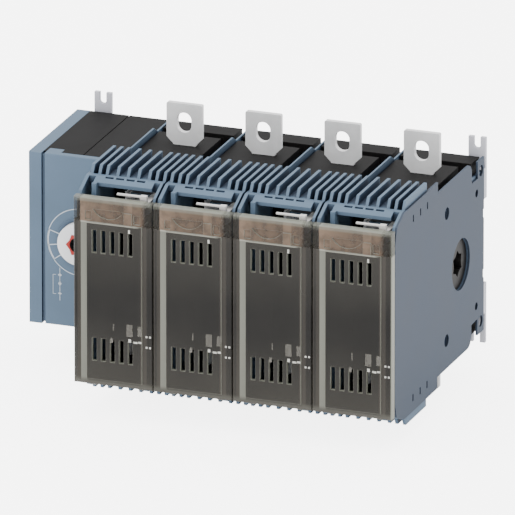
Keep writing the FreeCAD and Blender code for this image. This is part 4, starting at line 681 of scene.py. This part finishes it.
@dataclass(frozen=True)
class PaintedGlint:
    """Pale spots on the clear cover, painted as glints and patches of light, with a speckled
    grain.
    """

    name: str
    colour: str
    alpha: float
    speckle_mm: float = 1.2
    roughness: float = 0.5

    def build(self) -> Material:
        """Make the material.

        Returns:
            The finished material.
        """
        material, tree, shader = new_material(self.name)
        place = add_node(tree, "TexCoord").outputs["Object"]
        scale = 1 / (self.speckle_mm * MM)
        speckle = add_node(tree, "TexNoise", Vector=place, Scale=scale, Detail=2.0).outputs["Fac"]
        shade = add_node(tree, "ValToRGB", Fac=speckle)
        base = linear(self.colour)
        set_ramp(shade, [(0.3, tinted(base, 0.75)), (0.65, base)])
        cover = add_node(
            tree, "MapRange", Value=speckle, To_Min=self.alpha - 0.25, To_Max=self.alpha + 0.1
        )
        tree.links.new(shade.outputs[0], shader.inputs["Base Color"])
        tree.links.new(cover.outputs["Result"], shader.inputs["Alpha"])
        shader.inputs["Roughness"].default_value = self.roughness
        shader.inputs["IOR"].default_value = POLYCARBONATE_IOR
        material.diffuse_color = base
        return material


@dataclass
class Finishes:
    """Every finish of the unit, made once and handed to the sub-assemblies."""

    housing: Material = field(init=False)
    shaded_wall: Material = field(init=False)
    base: Material = field(init=False)
    smoke: Material = field(init=False)
    glint: Material = field(init=False)
    light_patch: Material = field(init=False)
    slide: Material = field(init=False)
    copper: Material = field(init=False)
    steel: Material = field(init=False)
    drive: Material = field(init=False)
    disc: Material = field(init=False)
    star: Material = field(init=False)
    foot: Material = field(init=False)
    ink: Material = field(init=False)

    def __post_init__(self) -> None:
        """Make the materials."""
        # Each moulded plastic below has a highlight painted on its edges and shade painted into
        # its hollows
        # Glass-filled polyamide, spark-eroded: even blue-grey and dry, with navy shade painted
        # into its hollows and a paler highlight painted on its edges
        self.housing = MouldedPlastic(
            "glass_filled_polyamide_blue_grey",
            "5A6F84",
            edge_highlight_colour="8199AE",
            hollow_shade_colour="122036",
            hollow_shade_mm=9.0,
        ).build()
        # The same polyamide on the end plate, painted darker as shade on the side turned from the
        # light, and a little greyer and smoother to the eye
        self.shaded_wall = MouldedPlastic(
            "glass_filled_polyamide_shaded_side_wall",
            "3B4656",
            edge_highlight_colour="6F7E90",
            hollow_shade_colour="0E1826",
            hollow_shade_mm=9.0,
            specular=0.3,
        ).build()
        # Thermoset polyester moulding: near black and dry, with a faint grey highlight painted on
        # its edges
        self.base = MouldedPlastic(
            "thermoset_polyester_black", "171616", edge_highlight_colour="2E2C2C", specular=0.08
        ).build()
        # Polished polycarbonate: glossy, dark and see-through
        self.smoke = SmokePolycarbonate("polycarbonate_smoke").build()
        # Bright spots on the cover, painted as glints
        self.glint = PaintedGlint("polycarbonate_painted_glint", "E6E5DC", 0.9).build()
        # Paler patches on the cover, painted as light over the dark inside
        self.light_patch = PaintedGlint("polycarbonate_painted_light_patch", "8F8B82", 0.5).build()
        # Acetal, smooth: white and slightly waxy
        self.slide = MouldedPlastic(
            "acetal_white", "ECEAE6", MouldSurface.SATIN, hollow_shade_colour="8E8C8A"
        ).build()
        # Silver plated copper strip: pale, soft gloss with rolling marks
        self.copper = PlatedMetal("silver_plated_copper", "FAFAFA", 0.5, metallic=0.35).build()
        # Zinc plated steel, turned: cooler and a little darker
        self.steel = PlatedMetal("zinc_plated_steel", "9DA1A6", 0.3).build()
        # Moulded polyamide drive pieces: dark grey, satin
        self.drive = MouldedPlastic(
            "polyamide_dark_grey", "1F1D1C", MouldSurface.SATIN, specular=0.12
        ).build()
        # Moulded ABS: white, smooth
        self.disc = MouldedPlastic(
            "abs_white", "FAFAFB", MouldSurface.SATIN, hollow_shade_colour="B4B6BC"
        ).build()
        # Moulded ABS: signal red, smooth
        self.star = MouldedPlastic(
            "abs_red", "B82A20", MouldSurface.SATIN, edge_highlight_colour="C8453A", hollow_shade_colour="4E110C"
        ).build()
        # Moulded polyamide feet: pale grey, dry
        self.foot = MouldedPlastic(
            "polyamide_pale_grey", "D5D6DE", edge_highlight_colour="EDEDF2", hollow_shade_colour="9495A0"
        ).build()
        # Pad-printed ink: off-white and matt
        self.ink = PrintedInk("pad_print_white", "D3DBE2").build()


def dress(frame: Frame, material: Material, *names: str) -> None:
    """Give CAD nodes a finish.

    Args:
        frame: The loaded frame.
        material: The finish.
        *names: Names of the nodes.
    """
    for name in names:
        data = frame["nodes"][name].data
        data.materials.clear()
        data.materials.append(material)
    LOG.info("dressed %s in %s", ", ".join(names), material.name)


@dataclass
class PoleModule:
    """One pole: housing, contact base, terminals, jaws, rotor, cover and latch.

    The four numbers of each painted glint and light patch are its left, right, lower and upper
    edge from the pole's middle.
    """

    number: int
    mark_height: float = 0.05
    # Spans of bright glints painted on the cover
    bright: tuple[Span, ...] = (
        (11.9, 13.3, 46.8, 49.6),
        (12.0, 13.9, -34.7, -32.3),
        (15.8, 18.8, -35.1, -33.7),
        (19.4, 21.8, -34.7, -33.3),
    )
    # Spans of pale patches painted on the cover as light over the dark inside
    light_patch_spans: tuple[Span, ...] = (
        (10.5, 15.1, -30.5, -21.4),
        (18.9, 21.8, -29.4, -21.9),
        (0.2, 1.1, -27.4, -22.1),
        (-1.6, 0.2, -36.5, -32.7),
    )
    dot_columns: tuple[float, ...] = (25.4, 28.0)
    dot_rows: tuple[float, ...] = (-29.4, -37.4)
    dot_half: float = 0.7
    rim_behind_panel: float = 0.8
    # The dark sheet below the fuse, laid in as painted shade for the openings there
    shade_sheet_front: float = 171.0
    shade_sheet_back: float = 117.2
    shade_sheet_thickness: float = 0.8
    shade_sheet_half_width: float = 26.2
    upright_half_width: float = 27.3
    floor_height: float = -72.15
    upright_top: float = -63.2

    @property
    def centre(self) -> float:
        """X of the pole's middle."""
        return (self.number - 2) * PITCH

    def build(self, frame: Frame, finishes: Finishes) -> None:
        """Dress the pole's nodes, paint glints and light patches on its cover and lay a dark sheet
        under its fuse as painted shade.

        Args:
            frame: The loaded frame.
            finishes: The unit's finishes.
        """
        terminals = ("upper_terminal", "lower_terminal", "upper_jaw", "lower_jaw")
        table = {
            finishes.housing: ("pole_housing",),
            finishes.base: ("pole_base",),
            finishes.smoke: ("fuse_cover",),
            finishes.slide: ("cover_latch",),
            finishes.copper: (*terminals, "moving_contacts"),
            finishes.drive: ("contact_rotor",),
        }
        for material, names in table.items():
            dress(frame, material, *(f"{name}_{self.number}" for name in names))
        self._add_painted_glints(finishes.glint, finishes.light_patch)
        self._lay_shade_sheet(finishes.base)

    def _lay_shade_sheet(self, material: Material) -> None:
        """Lay a bent dark sheet on the housing's floor below the fuse, as painted shade that keeps
        the openings there dark.

        Args:
            material: Finish of the sheet.
        """
        wide, reach, sheet = self.shade_sheet_half_width, self.upright_half_width, self.shade_sheet_thickness
        flat = rectangle(-wide, wide, self.floor_height, self.floor_height + sheet)
        upright = rectangle(-reach, reach, self.floor_height, self.upright_top)
        place = (self.centre, BACK - self.shade_sheet_back)
        depth = self.shade_sheet_front - self.shade_sheet_back
        piece = printed_piece(f"dark_shade_sheet_{self.number}", [flat], place, depth)
        add_shapes(piece, [upright], place, sheet)
        finish_piece(piece, material, "unit")

    def _add_painted_glints(self, glint: Material, light_patch: Material) -> None:
        """Put the cover's small painted glints and light patches on its panel, and painted glints
        on the rim beside the panel.

        Args:
            glint: Finish of the painted glints.
            light_patch: Finish of the painted light patches.
        """
        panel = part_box(f"fuse_cover_{self.number}")[0][1] / MM
        half = self.dot_half
        dots = [
            (x - half, x + half, z - half, z + half)
            for x in self.dot_columns
            for z in self.dot_rows
        ]
        sets = (
            ("painted_glints", self.bright, panel, glint),
            ("painted_light_patches", self.light_patch_spans, panel, light_patch),
            ("painted_rim_glints", dots, panel + self.rim_behind_panel, glint),
        )
        for name, spans, y, material in sets:
            shapes = [rectangle(*span) for span in spans]
            place = (self.centre, y)
            piece = printed_piece(f"{name}_{self.number}", shapes, place, self.mark_height)
            finish_piece(piece, material, f"cover_{self.number}")


@dataclass
class Mechanism:
    """The rotary mechanism at the left, with the printed marks on its front panel.

    Depths count from the unit's back. Places of prints count from the spindle's axis, and a
    sign's three numbers are its height, half its width and half its height.
    """

    spindle_x: float = LEFT_EDGE + 39.5
    panel_depth: float = 99.0
    print_height: float = 0.04
    ring_radius: float = 25.4
    ring_line: float = 0.55
    ring_steps: int = 96
    sector: tuple[float, float, float] = (163.0, 190.0, 216.0)
    sector_radius: float = 25.1
    sector_line: float = 1.0
    sector_steps: int = 24
    band_inner: float = 16.6
    band_line: float = 0.35
    bar_line: float = 0.6
    symbol_x: float = -15.8
    symbol_half_line: float = 0.2
    symbol_low: float = -45.4
    symbol_high: float = -20.7
    signs: tuple[tuple[float, float, float], ...] = (
        (-26.2, 1.5, 1.5),
        (-32.7, 1.3, 2.1),
        (-40.2, 1.5, 1.1),
    )
    bracket_x: float = -21.0
    bracket_line: float = 0.3
    bracket_low: float = -40.9
    bracket_high: float = -26.1
    bracket_reach: float = 2.2
    disc_radius: float = 15.7
    disc_front: float = 105.3
    disc_back: float = 96.9
    disc_rounding: float = 0.9
    socket_radius: float = 5.7
    liner_wall: float = 0.6
    bezel_gap: float = 0.2
    hole_radius: float = 18.5
    star_points: int = 6
    star_tip: float = 8.7
    star_root: float = 6.8
    star_steps: int = 4
    star_height: float = 0.5
    lip_back: float = 94.2
    lip_depth: float = 3.2
    lip_inset: float = 1.5

    @property
    def place(self) -> Point:
        """Where the spindle's axis meets the panel's face."""
        return self.spindle_x, BACK - self.panel_depth

    def build(self, frame: Frame, finishes: Finishes) -> None:
        """Dress the mechanism's nodes, print its front panel and add its lip and its disc.

        Args:
            frame: The loaded frame.
            finishes: The unit's finishes.
        """
        # The end plate takes the housing's polyamide painted darker as shade
        dress(frame, finishes.shaded_wall, "end_plate")
        dress(frame, finishes.housing, "mechanism_cover", "mechanism_side_plate")
        dress(frame, finishes.base, "mechanism_base")
        dress(frame, finishes.drive, "spindle_pinion", "rack_slider", "shaft_sector")
        dress(frame, finishes.disc, "drive_disc")
        dress(frame, finishes.star, "star_insert")
        dress(frame, finishes.steel, "drive_spindle", "main_shaft", "tie_rods", "foot_screws")
        self._print_dial(finishes.ink)
        self._print_symbol(finishes.ink)
        self._plate_lip(finishes.housing)
        self._drive_disc(finishes)
        self._star(finishes.star)

    def _drive_disc(self, finishes: Finishes) -> None:
        """Build the proud white disc, its dark socket and the bezel that seats it in the panel.

        Args:
            finishes: The unit's finishes.
        """
        front, back, lip = self.disc_front, self.disc_back, self.disc_rounding
        bore, edge = self.socket_radius, self.disc_radius
        corner = [(edge, front - lip), (edge - lip / 3, front - lip / 3), (edge - lip, front)]
        profile = [(bore, back), (edge, back), *corner, (bore, front)]
        disc = lathed_piece("dial_disc", profile, self.spindle_x)
        finish_piece(disc, finishes.disc, "spindle")
        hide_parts("drive_disc")
        profile = rectangle(bore - self.liner_wall, bore, back, front)
        liner = lathed_piece("socket_liner", profile, self.spindle_x)
        finish_piece(liner, finishes.drive, "spindle")
        profile = rectangle(edge + self.bezel_gap, self.hole_radius, back, self.panel_depth)
        bezel = lathed_piece("dial_bezel", profile, self.spindle_x)
        finish_piece(bezel, finishes.housing, "unit")

    def _star(self, material: Material) -> None:
        """Lay the star on the disc, round the socket.

        Args:
            material: Finish of the star.
        """
        corners = []
        for i in range(2 * self.star_points):
            radius = self.star_root if i % 2 else self.star_tip
            angle = math.pi * i / self.star_points
            corners.append(Vector((radius * math.cos(angle), radius * math.sin(angle))))
        outer = []
        for start, end in zip(corners, corners[1:] + corners[:1]):
            outer += [start.lerp(end, step / self.star_steps) for step in range(self.star_steps)]
        inner = [point.normalized() * self.socket_radius for point in outer]
        shapes = []
        for i in range(len(outer)):
            j = (i + 1) % len(outer)
            shapes.append([(p.x, p.y) for p in (outer[i], outer[j], inner[j], inner[i])])
        place = (self.spindle_x, BACK - self.disc_front)
        star = printed_piece("dial_star", shapes, place, self.star_height)
        finish_piece(star, material, "spindle")
        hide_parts("star_insert")

    def _plate_lip(self, material: Material) -> None:
        """Add the side plate's lip, which closes the groove between it and the front panel.

        Args:
            material: Finish of the lip.
        """
        low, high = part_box("mechanism_cover")
        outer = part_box("mechanism_side_plate")[1][0] / MM - LEFT_EDGE
        bottom, top = low[2] / MM + self.lip_inset, high[2] / MM - self.lip_inset
        shape = rectangle(outer, low[0] / MM - LEFT_EDGE, bottom, top)
        place = (LEFT_EDGE, BACK - self.lip_back)
        piece = printed_piece("side_plate_lip", [shape], place, self.lip_depth)
        finish_piece(piece, material, "unit")

    def _print_dial(self, ink: Material) -> None:
        """Print the ring round the disc, its thicker sector and the sector's lines.

        Args:
            ink: Finish of the print.
        """
        start, _, end = self.sector
        inner, steps = self.band_inner, self.sector_steps
        shapes = arc_band(self.ring_radius, self.ring_line, 0.0, 360.0, self.ring_steps)
        shapes += arc_band(self.sector_radius, self.sector_line, start, end, steps)
        shapes += arc_band(inner + self.band_line, self.band_line, start, end, steps)
        for angle in self.sector:
            shapes.append(radial_bar(inner, self.ring_radius, angle, self.bar_line))
        piece = printed_piece("dial_ring", shapes, self.place, self.print_height)
        finish_piece(piece, ink, "unit")

    def _print_symbol(self, ink: Material) -> None:
        """Print the small circuit symbol below the dial: a line with three signs and a bracket.

        Args:
            ink: Finish of the print.
        """
        line, half = self.symbol_x, self.symbol_half_line
        left, wide, right = self.bracket_x, self.bracket_line, self.bracket_x + self.bracket_reach
        low, high = self.bracket_low, self.bracket_high
        shapes = [
            rectangle(line - half, line + half, self.symbol_low, self.symbol_high),
            rectangle(left - wide / 2, left + wide / 2, low, high),
            rectangle(left, right, high - wide, high),
            rectangle(left, right, low, low + wide),
        ]
        shapes += [diamond(line, *sign) for sign in self.signs]
        piece = printed_piece("circuit_symbol", shapes, self.place, self.print_height)
        finish_piece(piece, ink, "unit")


@dataclass
class Feet:
    """The four grey mounting feet."""

    corners: tuple[str, ...] = ("upper_left", "lower_left", "upper_right", "lower_right")

    def build(self, frame: Frame, finishes: Finishes) -> None:
        """Dress the feet."""
        dress(frame, finishes.foot, *(f"{corner}_foot" for corner in self.corners))


def rectangle(left: float, right: float, low: float, high: float) -> Outline:
    """Corners of an upright rectangle."""
    return [(left, low), (right, low), (right, high), (left, high)]


def diamond(x: float, z: float, half_width: float, half_height: float) -> Outline:
    """Corners of a diamond round a point."""
    return [(x, z - half_height), (x + half_width, z), (x, z + half_height), (x - half_width, z)]


def arc_band(radius: float, width: float, start: float, end: float, steps: int) -> list[Outline]:
    """Cut a ring or a part of it into four-cornered pieces.

    Args:
        radius: Radius of the band's outer edge.
        width: Width of the band.
        start: First angle in degrees, from the right, anticlockwise as seen from the front.
        end: Last angle.
        steps: Number of pieces.

    Returns:
        The pieces' outlines.
    """
    turns = [math.radians(start + (end - start) * i / steps) for i in range(steps + 1)]
    inner = radius - width
    return [
        [
            (radius * math.cos(a), radius * math.sin(a)),
            (radius * math.cos(b), radius * math.sin(b)),
            (inner * math.cos(b), inner * math.sin(b)),
            (inner * math.cos(a), inner * math.sin(a)),
        ]
        for a, b in zip(turns, turns[1:])
    ]


def radial_bar(inner: float, outer: float, angle: float, width: float) -> Outline:
    """Draw a short line that points away from the centre.

    Args:
        inner: Radius where the line starts.
        outer: Radius where it ends.
        angle: Its direction in degrees.
        width: Its width.

    Returns:
        Its four corners.
    """
    a = math.radians(angle)
    along = Vector((math.cos(a), math.sin(a)))
    side = Vector((-along.y, along.x)) * width / 2
    ends = (along * inner + side, along * inner - side, along * outer - side, along * outer + side)
    return [(p.x, p.y) for p in ends]


def printed_piece(name: str, shapes: list[Outline], place: Point, height: float) -> Piece:
    """Build flat shapes that stand out towards the front by one height.

    Args:
        name: The piece's name.
        shapes: Their outlines as (across, up).
        place: X of their origin and Y of the face that carries them.
        height: How far they stand out.

    Returns:
        The new object.
    """
    piece = bpy.data.objects.new(name, bpy.data.meshes.new(name))
    bpy.context.scene.collection.objects.link(piece)
    add_shapes(piece, shapes, place, height)
    return piece


def add_shapes(piece: Piece, shapes: list[Outline], place: Point, height: float) -> None:
    """Add flat shapes that stand out towards the front to a piece's mesh.

    Args:
        piece: The object that takes them.
        shapes: Their outlines as (across, up).
        place: X of their origin and Y of the face that carries them.
        height: How far they stand out.
    """
    x, y = place
    mesh = bmesh.new()
    mesh.from_mesh(piece.data)
    for outline in shapes:
        front, back = (
            [mesh.verts.new(((x + across) * MM, depth * MM, up * MM)) for across, up in outline]
            for depth in (y - height, y)
        )
        mesh.faces.new(front)
        mesh.faces.new(list(reversed(back)))
        count = len(outline)
        for i in range(count):
            j = (i + 1) % count
            mesh.faces.new((front[i], back[i], back[j], front[j]))
    bmesh.ops.recalc_face_normals(mesh, faces=mesh.faces)
    mesh.to_mesh(piece.data)
    mesh.free()


def lathed_piece(name: str, profile: Outline, axis_x: float) -> Piece:
    """Turn a closed profile round an axis that points to the front, at mid-height.

    Args:
        name: The piece's name.
        profile: Corners as (radius, depth from the unit's back).
        axis_x: X of the axis.

    Returns:
        The new object.
    """
    mesh = bmesh.new()
    rings = []
    for i in range(LATHE_STEPS):
        angle = math.tau * i / LATHE_STEPS
        across, up = math.cos(angle), math.sin(angle)
        corners = [(axis_x + r * across, BACK - depth, r * up) for r, depth in profile]
        rings.append([mesh.verts.new((x * MM, y * MM, z * MM)) for x, y, z in corners])
    for here, after in zip(rings, rings[1:] + rings[:1]):
        for i in range(len(profile)):
            j = (i + 1) % len(profile)
            mesh.faces.new((here[i], here[j], after[j], after[i]))
    bmesh.ops.recalc_face_normals(mesh, faces=mesh.faces)
    data = bpy.data.meshes.new(name)
    mesh.to_mesh(data)
    mesh.free()
    data.shade_smooth()
    data.set_sharp_from_angle(angle=SHARP_ANGLE)
    piece = bpy.data.objects.new(name, data)
    bpy.context.scene.collection.objects.link(piece)
    return piece


def finish_piece(piece: Piece, material: Material, body: str) -> None:
    """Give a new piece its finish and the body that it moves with.

    Args:
        piece: The new object.
        material: Its finish.
        body: Name of the CAD body.
    """
    piece.data.materials.append(material)
    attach(piece, body)
    LOG.info("made %s on %s", piece.name, body)


@dataclass
class Studio:
    """Pale floor, soft light and the photograph's view, with all sizes in metres."""

    azimuth: float = 20.2
    elevation: float = 19.24
    distance: float = 14.25
    lens_mm: float = 1400.0
    sensor_mm: float = 36.0
    clip: Point = (1.0, 60.0)
    aim: tuple[float, float, float] = (0.01454, -0.1085, 0.00549)
    floor_height: float = -0.0962
    floor_reach: float = 6.0
    floor_colour: str = "F3F3F3"
    floor_roughness: float = 0.9
    floor_glow: float = 5.0
    floor_fill: float = 0.35
    light_colour: str = "FFFFFF"
    sky: float = 1.5
    lights: tuple[tuple[str, tuple[float, float, float], float, float], ...] = (
        ("key", (-1.1, -1.5, 1.9), 1.6, 22.0),
        ("top", (0.1, 0.2, 2.2), 1.8, 14.0),
    )

    def build(self) -> None:
        """Make the floor, the lights and the camera."""
        self._floor()
        self._world()
        for light in self.lights:
            self._light(*light)
        self._camera()
        LOG.info("set up the studio")

    def _floor(self) -> None:
        """Make a plain pale floor that fills the background and lights the unit less strongly."""
        reach, z = self.floor_reach, self.floor_height
        corners = [(-reach, -reach, z), (reach, -reach, z), (reach, reach, z), (-reach, reach, z)]
        mesh = bpy.data.meshes.new("floor")
        mesh.from_pydata(corners, [], [(0, 1, 2, 3)])
        floor = bpy.data.objects.new("floor", mesh)
        bpy.context.scene.collection.objects.link(floor)
        material, tree, shader = new_material("studio_floor")
        shader.inputs["Base Color"].default_value = linear(self.floor_colour)
        shader.inputs["Roughness"].default_value = self.floor_roughness
        shader.inputs["Emission Color"].default_value = linear(self.light_colour)
        seen = add_node(tree, "LightPath").outputs["Is Camera Ray"]
        glow = add_node(
            tree, "MapRange", Value=seen, To_Min=self.floor_fill, To_Max=self.floor_glow
        )
        tree.links.new(glow.outputs["Result"], shader.inputs["Emission Strength"])
        mesh.materials.append(material)

    def _world(self) -> None:
        """Surround the unit with even pale light."""
        world = bpy.data.worlds.new("studio")
        bpy.context.scene.world = world
        world.use_nodes = True
        shade = world.node_tree.nodes["Background"]
        shade.inputs["Color"].default_value = linear(self.light_colour)
        shade.inputs["Strength"].default_value = self.sky

    def _light(
        self, name: str, place: tuple[float, float, float], size: float, power: float
    ) -> None:
        """Hang a soft square light that points at the unit.

        Args:
            name: The light's name.
            place: Where it hangs.
            size: Side of the square.
            power: Power in watts.
        """
        data = bpy.data.lights.new(name, "AREA")
        data.size = size
        data.energy = power
        light = bpy.data.objects.new(name, data)
        bpy.context.scene.collection.objects.link(light)
        light.location = place
        way = Vector(self.aim) - Vector(place)
        light.rotation_euler = way.to_track_quat("-Z", "Y").to_euler()

    def _camera(self) -> None:
        """Set the camera at the photograph's angle, far off with a long lens."""
        a, e = math.radians(self.azimuth), math.radians(self.elevation)
        back = Vector((math.sin(a) * math.cos(e), -math.cos(a) * math.cos(e), math.sin(e)))
        data = bpy.data.cameras.new("camera")
        data.lens = self.lens_mm
        data.sensor_width = self.sensor_mm
        data.clip_start, data.clip_end = self.clip
        camera = bpy.data.objects.new("camera", data)
        bpy.context.scene.collection.objects.link(camera)
        camera.location = Vector(self.aim) + back * self.distance
        camera.rotation_euler = (-back).to_track_quat("-Z", "Y").to_euler()
        bpy.context.scene.camera = camera


def main() -> None:
    """Build the scene round the frame."""
    logging.basicConfig(level=logging.INFO, format="%(name)s: %(message)s")
    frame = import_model()
    finishes = Finishes()
    for number in range(1, POLES + 1):
        PoleModule(number).build(frame, finishes)
    Mechanism().build(frame, finishes)
    Feet().build(frame, finishes)
    Studio().build()


if __name__ == "__main__":
    main()
